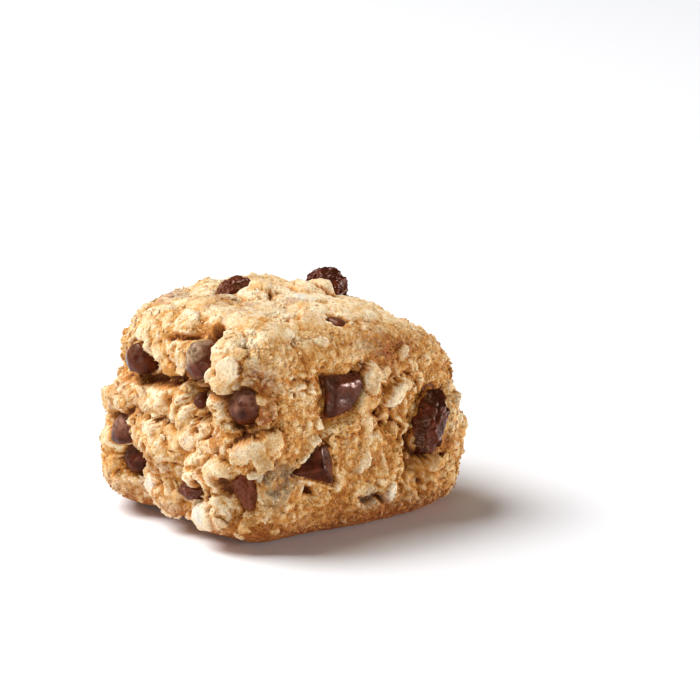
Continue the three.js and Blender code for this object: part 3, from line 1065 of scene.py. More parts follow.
# Creases between clumps, and small dark holes
GROOVES = [
    Groove(
        [(-1, 0.67, 0.25), (-1, 0.38, 0.29), (-1, 0.01, 0.34), (-1, -0.12, 0.43), (-1, -0.67, 0.43)], 0.7, 2.2
    ),
    Groove([(-1, -0.71, 0.47), (-1, -0.8, 0.29), (-1, -0.9, 0.1)], 0.6, 1.7),
    Groove([(-1, -0.15, -0.48), (-1, -0.5, -0.21), (-1, -0.88, 0.02), (-0.95, -1, 0.11)], 0.5, 0.6),
    Groove([(-1, 0, 0.74), (-1, -0.24, 0.82), (-1, -0.29, 0.94), (-0.97, -0.38, 1)], 0.6, 1.3),
    Groove([(-1, 0.19, -0.21), (-1, 0.09, -0.32), (-1, 0.05, -0.44)], 0.45, 0.8),
    Groove([(-1, -0.5, -0.29), (-1, -0.59, -0.4), (-1, -0.57, -0.53)], 0.5, 0.9),
    Groove([(-1, 0.72, -0.1), (-1, 0.51, -0.04), (-1, 0.36, 0.03)], 0.6, 1.0),
    Groove([(-1, 0.01, 0.23), (-1, -0.05, 0.12), (-1, 0.01, -0.03)], 0.5, 0.9),
    Groove([(0.04, -1, 0.34), (0.01, -1, 0.07), (-0.05, -1, -0.06), (-0.38, -1, -0.03)], 0.35, 0.45),
    Groove([(-0.67, -1, 0.52), (-0.56, -1, 0.54), (-0.46, -1, 0.5), (-0.35, -1, 0.54)], 0.35, 0.55),
    Groove([(0.11, -1, 0), (0.23, -1, 0.02), (0.33, -1, -0.07), (0.27, -1, -0.17)], 0.35, 0.6),
    Groove([(0.38, -1, 0.43), (0.48, -1, 0.33), (0.53, -1, 0.23)], 0.35, 0.5),
    Groove([(-0.06, -1, -0.64), (0.06, -1, -0.65), (0.17, -1, -0.72)], 0.45, 1.5),
    Groove([(-0.9, -0.18, 1), (-0.6, -0.41, 1), (-0.45, -0.59, 1)], 0.5, 0.35),
    Groove([(-0.45, -0.72, 1), (-0.19, -0.77, 1), (0.02, -0.9, 1), (0.28, -0.94, 1)], 0.45, 0.35),
    Groove([(-1, -0.7, -0.32), (-1, -0.72, -0.4)], 0.75, 2.0),
    Groove([(-1, -0.46, -0.42), (-1, -0.48, -0.48)], 0.5, 1.2),
    Groove([(-1, -0.16, -0.5), (-1, -0.2, -0.6)], 0.5, 1.2),
    Groove([(-1, 0.5, -0.38), (-1, 0.38, -0.4)], 0.5, 1.2),
    Groove([(-1, 0.23, -0.46), (-1, 0.21, -0.52)], 0.6, 1.2),
    Groove([(0.36, -1, -0.18), (0.39, -1, -0.29), (0.45, -1, -0.34), (0.52, -1, -0.36)], 0.55, 1.8),
    Groove([(0.04, -1, 0.14), (0.1, -1, 0.1), (0.16, -1, 0.12)], 0.5, 1.0),
    Groove([(0.12, -1, 0.01), (0.18, -1, -0.02), (0.2, -1, 0.03)], 0.4, 0.8),
    Groove([(-0.5, -1, -0.44), (-0.46, -1, -0.47)], 0.5, 1.4),
    Groove([(1, -0.8, 0.1), (1, -0.3, 0.28), (1, 0.2, 0.25), (1, 0.6, 0.34)], 0.6, 0.8),
    Groove([(-0.8, 1, 0.2), (-0.3, 1, 0.24), (0.2, 1, 0.36), (0.7, 1, 0.1)], 0.6, 1.2),
]
# Oat flakes that show in the photo
PLATES = [
    Plate((-0.03, -0.35, 1), 2.7, 0.42, 0.5, 0.35, 1.0),
    Plate((-1, -0.49, -0.68), 2.1, 0.85, 0.4, 0.6, 1.0),
    Plate((-1, 0.24, -0.63), 2.3, 0.5, 1.4, 0.6, 1.0),
    Plate((-0.82, -1, 0.01), 1.7, 0.7, 0.9, 0.5, 0.75, (0.2, 0.1)),
    Plate((-0.88, -1, -0.1), 1.6, 0.7, 2.2, 0.5, 0.7, (-0.2, 0.2)),
    Plate((-0.93, -1, -0.02), 1.5, 0.8, 0.2, 0.8, 0.75, (0.1, 0.3)),
    Plate((0.08, -1, 0.42), 2.2, 0.5, 1.5, 0.4, 0.85, (0.0, 0.15)),
    Plate((0.28, -1, 0.25), 1.7, 0.75, 0.5, 0.45, 0.95, (0.15, 0.1)),
    Plate((0.37, -1, 0.31), 1.4, 0.7, 2.4, 0.4, 0.9, (-0.2, 0.0)),
    Plate((-0.37, -1, 0.1), 1.1, 0.7, 2.6, 0.35, 0.9, (0.2, 0.1)),
    Plate((0.19, -1, -0.66), 1.5, 0.6, 1.0, 0.4, 0.95, (0.1, 0.2)),
    Plate((0.19, -1, 0.46), 1.3, 0.7, 0.2, 0.35, 0.75),
    Plate((-1, -0.88, -0.09), 1.6, 0.7, 0.8, 0.5, 0.85, (0.1, 0.2)),
    Plate((-1, 0.15, -0.11), 1.5, 0.8, 1.8, 0.5, 0.9, (0.1, -0.2)),
    Plate((-1, 0.35, 0.73), 1.6, 0.75, 0.6, 0.3, 0.85),
    Plate((-1, -0.76, 0.62), 1.7, 0.7, 1.2, 0.6, 0.95, (0.2, 0.2)),
    Plate((-1, -0.28, -0.09), 1.5, 0.8, 0.3, 0.5, 0.95, (-0.1, 0.2)),
]
# Shares of a flake's length that it is worked out within and that it ends at, the fall of its edge, and
# how far a point must belong to it to take its tone
FLAKE_REACH = 1.4
FLAKE_END = 1.1
FLAKE_FALL = 1.4
SHOWS = 0.3
# Flakes and bits of dough that lie over the edge of a chip or raisin
OVER = [
    Plate((-1, 0.03, 0.46), 1.9, 0.62, 0.25, 0.9, 0.3, (0.0, 0.0), 0.7),
    Plate((-1, -0.31, 0.72), 1.5, 0.6, 1.2, 1.7, 0.5, (0.0, 0.0), 0.5),
    Plate((-1, -0.66, 0.66), 1.6, 0.7, 0.9, 0.7, 0.75, (0.2, 0.2), 0.3),
    Plate((-1, -0.7, 0.5), 1.4, 0.7, 2.2, 0.6, 0.7, (0.2, 0.1), 0.3),
    Plate((0.3, -0.02, 1), 2.1, 0.6, 0.4, 1.1, 0.75, (0.1, 0.2), 0.5),
    Plate((-0.22, 0.0, 1), 2.2, 0.6, 0.2, 1.1, 0.75, (0.0, 0.2), 0.5),
    Plate((0.53, -1, -0.45), 1.4, 0.8, 0.9, 1.2, 0.5, (0.1, 0.0), 0.5),
    Plate((-0.93, -1, -0.24), 1.2, 0.6, 0.5, 0.8, 0.9, (0.0, 0.2), 0.3),
    Plate((-1, 0.33, -0.55), 1.3, 0.7, 0.6, 0.9, 0.7, (0.1, 0.1), 0.3),
    Plate((-1, 0.62, -0.52), 1.4, 0.7, 1.3, 0.9, 0.5, (0.1, 0.1), 0.4),
]
# Places that are more broken than their side
CRUMBLY = [
    Spot((0.27, -1, 0.14), 6.5, 1.0),
    Spot((0.46, -1, 0.3), 4, 0.4),
    Spot((0.42, -1, -0.3), 5, 0.5),
    Spot((0.05, -1, -0.62), 4, 0.4),
    Spot((-0.5, -1, 0.5), 3.4, 0.4),
    Spot((-0.3, -1, -0.5), 3, 0.3),
    Spot((-0.9, -1, 0.0), 7, 0.4),
    Spot((-0.5, -1, -0.72), 6, 0.35),
    Spot((0.35, -1, -0.75), 6, 0.35),
    Spot((0.3, 0.1, 1), 5, 0.3),
    Spot((-0.2, 0.0, 1), 5, 0.3),
]
# Depth and width of the dough's hollow round some chips and raisins
CLEARED = {
    "chip_05": (2.2, 1.1),
    "chip_07": (1.0, 0.4),
    "raisin_01": (0.7, 0.4),
    "raisin_04": (0.5, 0.4),
    "raisin_05": (0.5, 0.4),
}
# Oats that are chalky white
CHALKY = [
    Spot((-1, -0.49, -0.68), 2.4, 1.2),
    Spot((-1, 0.24, -0.63), 1.8, 1.0),
    Spot((-0.03, -0.35, 1), 2.6, 0.9),
    Spot((-0.9, -1, -0.43), 1.5, 0.5),
    Spot((-1, -0.28, -0.09), 1.5, 0.6),
    Spot((0.19, -1, -0.66), 1.6, 0.7),
]
# Smears of chocolate
SMEARS = [
    Spot((-0.74, -1, -0.34), 4.4, 1.2),
    Spot((0.02, -1, -0.64), 1.9, 1.1),
    Spot((-1, -0.2, -0.45), 2.2, 0.8),
    Spot((-1, -0.8, 0.4), 2.2, 0.4),
    Spot((1, 0.2, -0.3), 4, 0.9),
    Spot((0.3, 1, -0.1), 4, 0.9),
]
# Browned places
BROWNED = [
    Spot((0.4, -1, 0.64), 2.4, 1.0),
    Spot((0.16, -1, 0.68), 4, 0.6),
    Spot((-0.88, -1, 0.5), 3.4, 0.7),
    Spot((-0.98, -1, 0.51), 1.9, 2.0),
    Spot((-0.87, -1, 0.24), 1.9, 1.8),
    Spot((-1, 0.8, 0.0), 3, 0.7),
]
# Places painted paler as light, on the lit upper edges of the front
PAINTED_LIGHT_SPOTS = [
    Spot((-0.82, -1, 0.7), 7, 0.1),
    Spot((0.1, -1, 0.95), 6, 0.15),
]


@dataclass(frozen=True)
class Relief:
    """The dough's unevenness at some points of the block.

    Attributes:
        height: Rise along the block's normal.
        rough: How broken the surface is, from 0 to 1.
        flake: How far the point belongs to an oat flake, from 0 to 1.
        flake_tone: How pale that flake is.
        gap: How far the point lies in a groove or at the edge of a chip or raisin, from 0 to 1.
        sink: Depth of the hollows, which the height already counts.
        grain: A fraction that differs from grain to grain.
    """

    height: Array
    rough: Array
    flake: Array
    flake_tone: Array
    gap: Array
    sink: Array
    grain: Array


@dataclass(frozen=True)
class Layer:
    """A noise on the dough: its height, the size of its bumps, its seed and its octaves."""

    height: float
    size: float
    seed: int
    octaves: int = 2

    def noise(self, points: Array) -> Array:
        """The noise from about -1 to 1."""
        return noise(points, self.size, self.seed, self.octaves)

    def waves(self, points: Array, share: Array | float = 1.0) -> Array:
        """Soft rise and fall, times a share at every point."""
        return self.height * share * self.noise(points)

    def popcorn(self, points: Array, share: Array) -> Array:
        """Round crowns and sharp valleys: the size of the noise less about its mean, times a share."""
        return self.height * share * (np.abs(self.noise(points)) - 0.3)


@dataclass(frozen=True)
class Cracks:
    """Ragged cracks of one size: borders of cells, left out where a noise is low.

    Attributes:
        spacing: Size of the cells.
        seed: Seed of the cells.
        width: Width of a crack, in cell sizes.
        depth: Depth of a crack.
        patch: The noise that opens them.
        opens: Values of that noise at which they begin to open and are fully open.
    """

    spacing: float
    seed: int
    width: float
    depth: float
    patch: Layer
    opens: tuple[float, float]

    def over(self, point: Array, bent: Array) -> Array:
        """Depth at points, with the cells worked out at bent points."""
        open_here = smoothstep(*self.opens, self.patch.waves(point))
        return self.depth * (Cells.over(bent, self.spacing, self.seed).crease(self.width) * open_here)


CRACKS = [
    Cracks(3.2, 51, 0.12, 0.5, Layer(1.0, 3.0, 57), (-0.1, 0.4)),
    Cracks(1.5, 55, 0.16, 0.35, Layer(1.0, 2.0, 59), (0.1, 0.5)),
]


@dataclass
class Dough:
    """The baked dough: a block built up with clumps and flakes, broken by creases, pits and the fissure.

    Attributes:
        inclusions: Chips and raisins, which the dough leaves free.
        clump_size: Size of the broad bumps.
        bump_height: Height of the broad bumps on each side.
        rough: How broken each side is, from 0 to 1.
        pale: How pale each side is, from 0 to 1: partly the dough's own tone, partly painted light on the
            top.
        torn: Ragged noise of broken dough.
        lumps: Popcorn-like lumps of broken dough.
        shards: Sharp crests of broken dough.
        bits: Small lumps, whose share is worked out from how broken the dough is.
        streaks: Streaks along the top.
        crack_free: How broken the dough may be before it has cracks.
        pit_depth: Depth of the small round holes.
        pit_spacing: Spacing of the places where holes may be.
        pit_rarity: Share of those places without a hole.
        flake_rim: Raggedness of the flakes' rims, as a share of their length.
        flake_ripple: Unevenness of the flakes.
        rim: Raggedness of the edges round chips and raisins, as a share of their radius.
        lip: Where the lip round them is and how wide, as shares of their radius.
        moat: Where the gap round them is and how wide.
        moat_depth: Depth of that gap.
        shade_seam: Where the thin line of painted shade along their edge is and how wide.
        bare: How far the dough stays under what shows of them.
        ledge: Height of the steps of broken dough.
        ledge_pull: How far the height is drawn to those steps.
        shove: How far broken dough is moved sideways.
        base_flat: Height over which the foot goes from flat to uneven.
        settle: How far the foot is pressed down.
        flake_count: Oat flakes that are drawn besides those that are placed.
        flake_shares: Shares of them on the left, right, front, back and top.
        step: Spacing of the grid.
    """

    inclusions: list[Inclusion]
    clump_size: float = 4.8
    bump_height: SideValues = SideValues(left=2.2, right=1.9, front=0.8, back=1.7, top=1.1)
    rough: SideValues = SideValues(left=0.9, right=0.5, front=0.46, back=0.65, top=0.17)
    # Partly painted light: the lit top is painted paler than the sides.
    pale: SideValues = SideValues(left=0.54, right=0.5, front=0.34, back=0.5, top=0.8, base=0.2)
    torn: Layer = Layer(0.8, 4.4, 17, 4)
    lumps: Layer = Layer(0.5, 2.6, 29)
    shards: Layer = Layer(-0.2, 1.5, 41)
    bits: Layer = Layer(1.0, 1.1, 37)
    streaks: Layer = Layer(0.35, 2.2, 47, 3)
    crack_free: float = 0.2
    pit_depth: float = 0.5
    pit_spacing: float = 1.6
    pit_rarity: float = 0.95
    flake_rim: Layer = Layer(0.4, 1.3, 61, 3)
    flake_ripple: Layer = Layer(0.14, 0.9, 67)
    rim: Layer = Layer(0.1, 1.1, 83, 3)
    lip: tuple[float, float] = (1.2, 0.16)
    moat: tuple[float, float] = (1.04, 0.1)
    moat_depth: float = 0.6
    shade_seam: tuple[float, float] = (1.0, 0.08)
    bare: float = 0.35
    ledge: float = 0.9
    ledge_pull: float = 0.2
    shove: float = 0.35
    base_flat: float = 1.2
    settle: float = 0.2
    flake_count: int = 260
    flake_shares: tuple[float, ...] = (0.26, 0.22, 0.18, 0.22, 0.12)
    step: float = 0.275

    def __post_init__(self) -> None:
        """Draws the flakes that are not placed: place, length, width, turn, lift, tone and slopes of each."""
        random = np.random.default_rng(5)
        cube = random.uniform(-1, 1, (self.flake_count, 3))
        side = random.choice(5, self.flake_count, p=self.flake_shares)
        axis = np.array([0, 0, 1, 1, 2])[side]
        cube[np.arange(self.flake_count), axis] = np.array([-1, 1, -1, 1, 1])[side]
        low, high = (0.8, 0.45, 0.0, -0.2, 0.45), (1.8, 0.85, np.pi, 0.3, 0.9)
        sizes = random.uniform(low, high, (self.flake_count, 5))
        tilts = random.uniform(-0.3, 0.3, (self.flake_count, 2))
        drawn = [Plate(tuple(at), *size, tuple(tilt)) for at, size, tilt in zip(cube, sizes, tilts)]
        self.plates = [*drawn, *PLATES]

    def bells(self, points: Array, spots: list[Spot]) -> Array:
        """Sum of bells round the spots: each amount times a Gaussian of half its reach."""
        centres = BLOCK.at(np.array([spot.at for spot in spots], float))[0]
        total = np.zeros(len(points))
        for spot, centre in zip(spots, centres):
            square = np.sum((points - centre) ** 2, axis=1)
            total += spot.amount * np.exp(-square / (spot.reach / 2) ** 2 / 2)
        return total

    def domes(self, points: Array, spots: list[Spot]) -> Array:
        """Highest of the domes round the spots: each amount times the root of 1 less the squared distance."""
        centres = BLOCK.at(np.array([spot.at for spot in spots], float))[0]
        highest = np.zeros(len(points))
        for spot, centre in zip(spots, centres):
            share = np.sum((points - centre) ** 2, axis=1) / spot.reach**2
            highest = np.maximum(highest, spot.amount * np.sqrt(np.maximum(0, 1 - share)))
        return highest

    def groove_depth(self, points: Array) -> Array:
        """Deepest of the grooves."""
        deepest = np.zeros(len(points))
        for groove in GROOVES:
            deepest = np.maximum(deepest, groove.profile(points))
        return deepest

    def form(self, point: Array, normal: Array) -> Array:
        """Height of the large forms: broad bumps and domed clumps, less the hollows."""
        bumps = self.bump_height.over(normal) * (Cells.over(point, self.clump_size).lump() - 0.5)
        return bumps + self.domes(drift(point, 1.8, 0.45, 13), CLUMPS) - self.bells(point, HOLLOWS)

    def ledges(self, height: Array, rough: Array) -> Array:
        """Height drawn towards ledges where the dough is broken: low at first in a step, then rising fast."""
        level = np.floor(height / self.ledge)
        stepped = self.ledge * (level + smoothstep(0.3, 0.75, height / self.ledge - level))
        return height + self.ledge_pull * np.clip(rough, 0, 1) * (stepped - height)

    def relief(self, point: Array, normal: Array) -> Relief:
        """Unevenness at points of the block.

        To the large forms are added torn dough, lumps and crests, all drawn to ledges, then small lumps,
        granules and streaks, less grooves and pits. Flakes and the edges of chips and raisins come last.

        Args:
            point: Points of the block, (n, 3).
            normal: The block's normals, (n, 3).

        Returns:
            The relief.
        """
        form = self.form(point, normal)
        rough = np.clip(self.rough.over(normal) + self.bells(point, CRUMBLY), 0, 1.1)
        bent = drift(point, 2.4, 0.7, 11)
        lumps = self.lumps.popcorn(bent, rough)
        broken = form + self.torn.waves(bent, rough) + lumps + self.shards.popcorn(bent, rough)
        bits = self.bits.popcorn(bent, 0.1 + 0.3 * rough)
        granule = Cells.over(drift(point, 1.0, 0.3, 43), 0.95, 45)
        grains = (0.12 + 0.5 * rough) * (granule.lump() - 0.7) * (0.4 + 1.2 * granule.tone(5))
        along = point * np.array([0.3, 1.3, 1.0])
        streaks = self.streaks.waves(along, normal[:, 2].clip(0) ** 2)
        groove = self.groove_depth(drift(point, 1.5, 0.55, 53)) + self.cracks(point, rough)
        pits = self.pits(point)
        height = self.ledges(broken, rough) + bits + grains + streaks - groove - self.pit_depth * pits
        height, flake, flake_tone = self.lay_flakes(point, height, self.plates)
        height, gap = self.edge_inclusions(point, normal, form, height, rough)
        height, over, over_tone = self.lay_flakes(point, height, OVER)
        flake_tone = np.where(over > SHOWS, over_tone, flake_tone)
        # Grooves, pits and the edges of chips and raisins are marked to be painted dark as shade, except
        # under flakes.
        gap = np.clip(gap + groove + 0.8 * pits, 0, 1) * (1 - over)
        sink = self.bells(point, HOLLOWS)
        return Relief(height, rough, np.maximum(flake, over), flake_tone, gap, sink, granule.tone(3))

    def cracks(self, point: Array, rough: Array) -> Array:
        """Depth of ragged cracks where the dough is broken.

        The points are bent twice, by a broad and by a fine drift, and the cracks of both sizes are added up.
        """
        bent = drift(drift(point, 2.0, 0.8, 31), 0.7, 0.3, 33)
        depth = sum(cracks.over(point, bent) for cracks in CRACKS)
        return np.clip(rough - self.crack_free, 0, 1) * depth

    def pits(self, point: Array) -> Array:
        """Small round holes at the seeds of a few cells: a parabola inside a radius that differs by hole."""
        cells = Cells.over(point, self.pit_spacing, 71)
        radius = 0.1 + 0.2 * cells.tone(73)
        return (cells.tone(79) > self.pit_rarity) * np.clip(1 - (cells.first / radius) ** 2, 0, 1)

    def lay_flakes(self, point: Array, height: Array, plates: list[Plate]) -> tuple[Array, Array, Array]:
        """Height with the oat flakes in it.

        Where a flake's tilted top lies over the dough, it takes the dough's place. A flake's outline is an
        oval whose radius noise makes ragged, and its edge falls off steeply.

        Args:
            point: Points of the block.
            height: Height along the normals.
            plates: The flakes.

        Returns:
            The new height, how far each point belongs to a flake, and that flake's tone.
        """
        centres, normals = BLOCK.at(np.array([plate.at for plate in plates], float))
        levels = self.form(centres, normals)
        axes = frames_along(normals, np.array([plate.turn for plate in plates]))
        ragged, rippled = self.flake_rim.waves(point), self.flake_ripple.waves(point)
        flake, tone = np.zeros(len(point)), np.zeros(len(point))
        for plate, centre, level, axis in zip(plates, centres, levels, axes):
            near = np.flatnonzero(np.sum((point - centre) ** 2, axis=1) < (FLAKE_REACH * plate.length) ** 2)
            along, across = ((point[near] - centre) @ axis[:2].T / plate.length).T
            share = np.hypot(along, across / plate.narrow) + ragged[near]
            tilt = plate.length * (plate.tilt[0] * along + plate.tilt[1] * across)
            top = level + plate.lift + tilt + rippled[near] - plate.dome * share**2
            top = top - FLAKE_FALL * smoothstep(0.82 - 0.2 * plate.dome, 1.15, share)
            inside = share < FLAKE_END
            shows = smoothstep(-0.05, 0.1, top - height[near]) * inside
            flake[near] = np.maximum(flake[near] * (1 - shows), shows)
            tone[near] = np.where(shows > SHOWS, plate.tone, tone[near])
            height[near] = np.where(inside, np.maximum(height[near], top), height[near])
        return height, flake, tone

    def edge_inclusions(
        self, point: Array, normal: Array, form: Array, height: Array, rough: Array
    ) -> tuple[Array, Array]:
        """Height with a lip or a gap at the edge of each chip and raisin, and kept under what shows of them.

        Round an inclusion the dough rises to a lip where a noise is high and sinks to a gap where it is low.
        Where the inclusion stands over the large forms, the dough stays under its surface.

        Args:
            point: Points of the block.
            normal: Normals of the block.
            form: Height of the large forms.
            height: Height along the normals.
            rough: How broken the surface is.

        Returns:
            The new height, and how far each point lies in a gap, from 0 to 1.
        """
        ragged = self.rim.waves(point)
        raised = smoothstep(-0.15, 0.35, noise(point, 3.0, 89, 2))
        gap = np.zeros(len(point))
        for inclusion in self.inclusions:
            distance = np.linalg.norm(point - inclusion.centre, axis=1)
            near = np.flatnonzero(distance < NEARBY * inclusion.reach)
            share = inclusion.closeness(point[near] + normal[near] * height[near, None]) + ragged[near]
            lip = (0.1 + 0.45 * rough[near]) * raised[near] * bell(share, *self.lip)
            moat = (1 - raised[near]) * bell(share, *self.moat)
            depth, width = CLEARED.get(inclusion.node, (0.0, 1.0))
            height[near] += lip - self.moat_depth * moat - depth * bell(share, self.lip[0], width)
            top = inclusion.column(point[near], normal[near])
            stands = top > form[near] + 0.1
            height[near] = np.where(stands, np.minimum(height[near], top - self.bare), height[near])
            # Painted shade in the gap and along the edge of the chip or raisin.
            gap[near] = np.maximum(gap[near], np.maximum(moat, 0.7 * bell(share, *self.shade_seam)))
        return height, gap

    def place(self, cube: Array) -> tuple[Array, Array, Array, Array]:
        """Where points of the cube come to lie on the dough.

        Args:
            cube: Points of the cube's surface, (n, 3).

        Returns:
            Points of the dough, the block's normals there, the four numbers that the finish reads, and how
            far each point belongs to a flake.
        """
        point, normal = BLOCK.at(cube)
        relief = self.relief(point, normal)
        tone = self.tint(point, normal)
        tone = tone + relief.flake * (relief.flake_tone - tone)
        brown, mark = self.stains(point, relief)
        # The third number carries the painted shade of gaps.
        crust = np.column_stack([tone, brown, 0.6 * relief.gap, mark])
        return self.moved(point, normal, relief), normal, crust, relief.flake

    def moved(self, point: Array, normal: Array, relief: Relief) -> Array:
        """Points raised along the normal, and shoved sideways by noise where the dough is broken.

        Both set in above the base, the foot is pressed down, and nothing goes below the ground.
        """
        foot = smoothstep(0, self.base_flat, point[:, 2])[:, None]
        shove = self.shove * relief.rough[:, None] * (drift(point, 2.2, 1.0, 97) - point)
        place = point + foot * (normal * (relief.height + relief.sink)[:, None] + shove)
        place -= normal * relief.sink[:, None]
        pressed = self.settle * (1 - smoothstep(0, 10 * self.settle, place[:, 2]))
        place[:, 2] = np.maximum(place[:, 2] - pressed, 0)
        return place

    def build(self, finish: Material) -> Piece:
        """Dense closed surface of the dough, from a cube's grid.

        Args:
            finish: Material of the dough.

        Returns:
            The piece, riding on the body in place of its solid.
        """
        steps = tuple(round(length / self.step) for length in (BLOCK.width, BLOCK.depth, BLOCK.height))
        cube, faces = box_lattice(steps)
        point, normal = BLOCK.at(cube)
        relief = self.relief(point, normal)
        crust = self.crust(point, normal, relief, faces)
        piece = write_mesh("dough_piece", self.moved(point, normal, relief), faces, crust)
        return settle(piece, finish, Slot.DOUGH, "dough")

    def tint(self, point: Array, normal: Array) -> Array:
        """How pale the dough is before its relief: side values and spots, partly painted light, and a noise.
        """
        return self.pale.over(normal) + self.bells(point, PAINTED_LIGHT_SPOTS) + 0.28 * noise(point, 3.0, 101, 2)

    def stains(self, point: Array, relief: Relief) -> tuple[Array, Array]:
        """Browning in spots and noise patches, browning and painted shade at the base, smears and chalky
        oats.

        Args:
            point: Points of the block.
            relief: Unevenness there.

        Returns:
            Browning with painted shade towards the base, and a mark that is over a half where chocolate is
            smeared and under it where oats are chalky.
        """
        brown = self.bells(point, BROWNED) + 0.6 * smoothstep(0.2, 0.6, noise(point, 5.0, 107, 3))
        # Darker towards the base: partly browning of the foot, partly painted shade under the bite.
        brown = (brown + 1.1 * smoothstep(7.0, 0.5, point[:, 2])) * (1 - 0.8 * relief.flake)
        smear = np.clip(self.bells(point, SMEARS), 0, 1) * smoothstep(-0.8, 0.2, noise(point, 1.6, 109, 3))
        chalk = np.clip(self.bells(point, CHALKY), 0, 1) * smoothstep(-0.4, 0.1, noise(point, 1.2, 113, 3))
        return np.clip(brown, 0, 1), 0.5 + 0.5 * (smear - chalk)

    def crust(self, point: Array, normal: Array, relief: Relief, faces: Faces) -> Array:
        """The four numbers that the finish reads.

        Crowns, which lie over the mean height round them, are painted paler as light, and creases, which lie
        under it, are painted darker as shade. The mean is taken over a narrow and over a wide surrounding.

        Args:
            point: Points of the block.
            normal: Normals of the block.
            relief: Unevenness there.
            faces: Quads of the grid.

        Returns:
            Tone with painted light and shade, browning with painted base shade, crease and mark, (n, 4).
        """
        fine, wide = (relief.height - neighbour_mean(relief.height, faces, times) for times in (8, 60))
        tone = self.tint(point, normal) + 0.34 * (relief.grain - 0.5)
        # Painted light and shade: crowns paler, creases darker.
        tone = tone + 0.5 * np.clip(fine / 0.3, -0.6, 1) + 0.2 * np.clip(wide / 0.8, -1, 1)
        tone = tone + relief.flake * (relief.flake_tone - tone) * 0.85
        brown, mark = self.stains(point, relief)
        # Depth in creases and gaps, which the finish paints as shade.
        crease = np.clip(-fine / 0.35, 0, 1) ** 1.5 + 0.7 * np.clip(-wide / 1.2, 0, 1) ** 1.5
        crease = crease + 0.7 * relief.gap
        return np.clip(np.column_stack([tone, brown, crease, mark]), 0, 1)

    def draw(
        self, random: np.random.Generator, count: int, weights: SideValues, lowest: float, clear: float
    ) -> Array:
        """Random points of the cube's surface off the base and clear of the chips and raisins.

        Args:
            random: Source of the draws.
            count: How many points are drawn before those in the way are left out.
            weights: Share of the points on each side.
            lowest: Height over the ground below which there are none.
            clear: Room that is left round the chips and raisins.

        Returns:
            Points of the cube, (n, 3).
        """
        sides = np.column_stack(weights.ends()).ravel()
        side = random.choice(6, count, p=sides / sides.sum())
        cube = random.uniform(-1, 1, (count, 3))
        cube[np.arange(count), side // 2] = np.where(side % 2 == 0, -1.0, 1.0)
        point = BLOCK.at(cube)[0]
        free = point[:, 2] > lowest
        for inclusion in self.inclusions:
            free &= inclusion.closeness(point) > 1 + clear / inclusion.reach
        return cube[free]


def neighbour_mean(values: Array, faces: Faces, times: int) -> Array:
    """Values smoothed over a closed grid of quads: each becomes half itself and half its neighbours' mean.

    Args:
        values: One number per vertex.
        faces: Quads, in which every edge appears once each way.
        times: How often it is done.

    Returns:
        The smoothed values.
    """
    ends = np.roll(faces, -1, axis=1).ravel()
    starts = faces.ravel()
    degree = np.bincount(starts, minlength=len(values))
    for _ in range(times):
        mean = np.bincount(starts, weights=values[ends], minlength=len(values)) / degree
        values = 0.5 * values + 0.5 * mean
    return values


# Loose pieces


@dataclass
class Scattered:
    """Small pieces of one kind, all in one mesh on the dough's surface.

    Attributes:
        name: Name of the piece.
        count: How many are drawn.
        weights: Share of them on each side.
        size: Smallest and largest size.
        power: Above 1 makes small ones commoner.
        lean: Largest tilt out of the surface, in radians.
        lift: Height of the middle over the surface, in sizes.
        seed: Seed of the draws.
        paler: Least and most that a copy is paler than the dough under it.
        smooth: Whether the shading is smooth.
        lowest: Height over the ground below which there are none.
        clear: Room that is left round the chips and raisins.
        shrink: Share by which a copy on a flake is smaller.
        ground: Least height over the ground.
    """

    name: str
    count: int
    weights: SideValues
    size: tuple[float, float]
    power: float
    lean: float
    lift: float
    seed: int
    paler: tuple[float, float] = (-0.12, 0.22)
    smooth: bool = True
    lowest: float = 4.0
    clear: float = 1.1
    shrink: float = 0.45
    ground: float = 0.02

    def shape(self, random: np.random.Generator, copies: int) -> tuple[Array, Faces]:
        """Vertices of every copy at size 1, (copies, n, 3), and the faces of one copy."""
        raise NotImplementedError

    def build(self, dough: Dough, finish: Material) -> Piece:
        """One mesh of all copies, each turned to the dough's surface with its own tilt, size and tone.

        Args:
            dough: The dough that they lie on.
            finish: Their material.

        Returns:
            The piece, riding on the body.
        """
        random = np.random.default_rng(self.seed)
        cube = dough.draw(random, self.count, self.weights, self.lowest, self.clear)
        copies = len(cube)
        place, normal, crust, flake = dough.place(cube)
        low, high = self.size
        size = (low + (high - low) * random.uniform(0, 1, copies) ** self.power) * (1 - self.shrink * flake)
        tilt = unit(normal + np.tan(self.lean) * random.uniform(-0.7, 0.7, (copies, 3)))
        axes = frames_along(tilt, random.uniform(0, 2 * np.pi, copies))
        shape, faces = self.shape(random, copies)
        turned = np.einsum("cni,cij->cnj", shape * size[:, None, None], axes)
        vertices = turned + (place + normal * (self.lift * size)[:, None])[:, None]
        vertices[..., 2] = np.maximum(vertices[..., 2], self.ground)
        crust[:, 0] += random.uniform(*self.paler, copies)
        crust = np.repeat(np.clip(crust, 0, 1), shape.shape[1], axis=0)
        all_faces = repeat_mesh(shape[0], faces, copies)
        piece = write_mesh(self.name, vertices.reshape(-1, 3), all_faces, crust, self.smooth)
        return settle(piece, finish, Slot.DOUGH)


@dataclass
class Clods(Scattered):
    """Ragged clods of dough: cubes blown up to balls, flattened and roughened by noise."""

    steps: int = 7

    def shape(self, random: np.random.Generator, copies: int) -> tuple[Array, Faces]:
        """Balls with three octaves of noise on the radius, squashed along the third axis."""
        cube, faces = box_lattice((self.steps,) * 3)
        ball = unit(np.tan(cube * np.pi / 4))
        place = (ball[None] + 50 * random.uniform(0, 1, (copies, 1, 3))).reshape(-1, 3)
        radius = 0.5 + 0.3 * noise(place, 0.9, 91, 3).reshape(copies, -1)
        narrow = random.uniform(0.6, 1, copies)
        flat = random.uniform(0.45, 0.8, copies)
        squash = np.column_stack([np.ones(copies), narrow, flat])
        return ball[None] * radius[..., None] * squash[:, None], faces


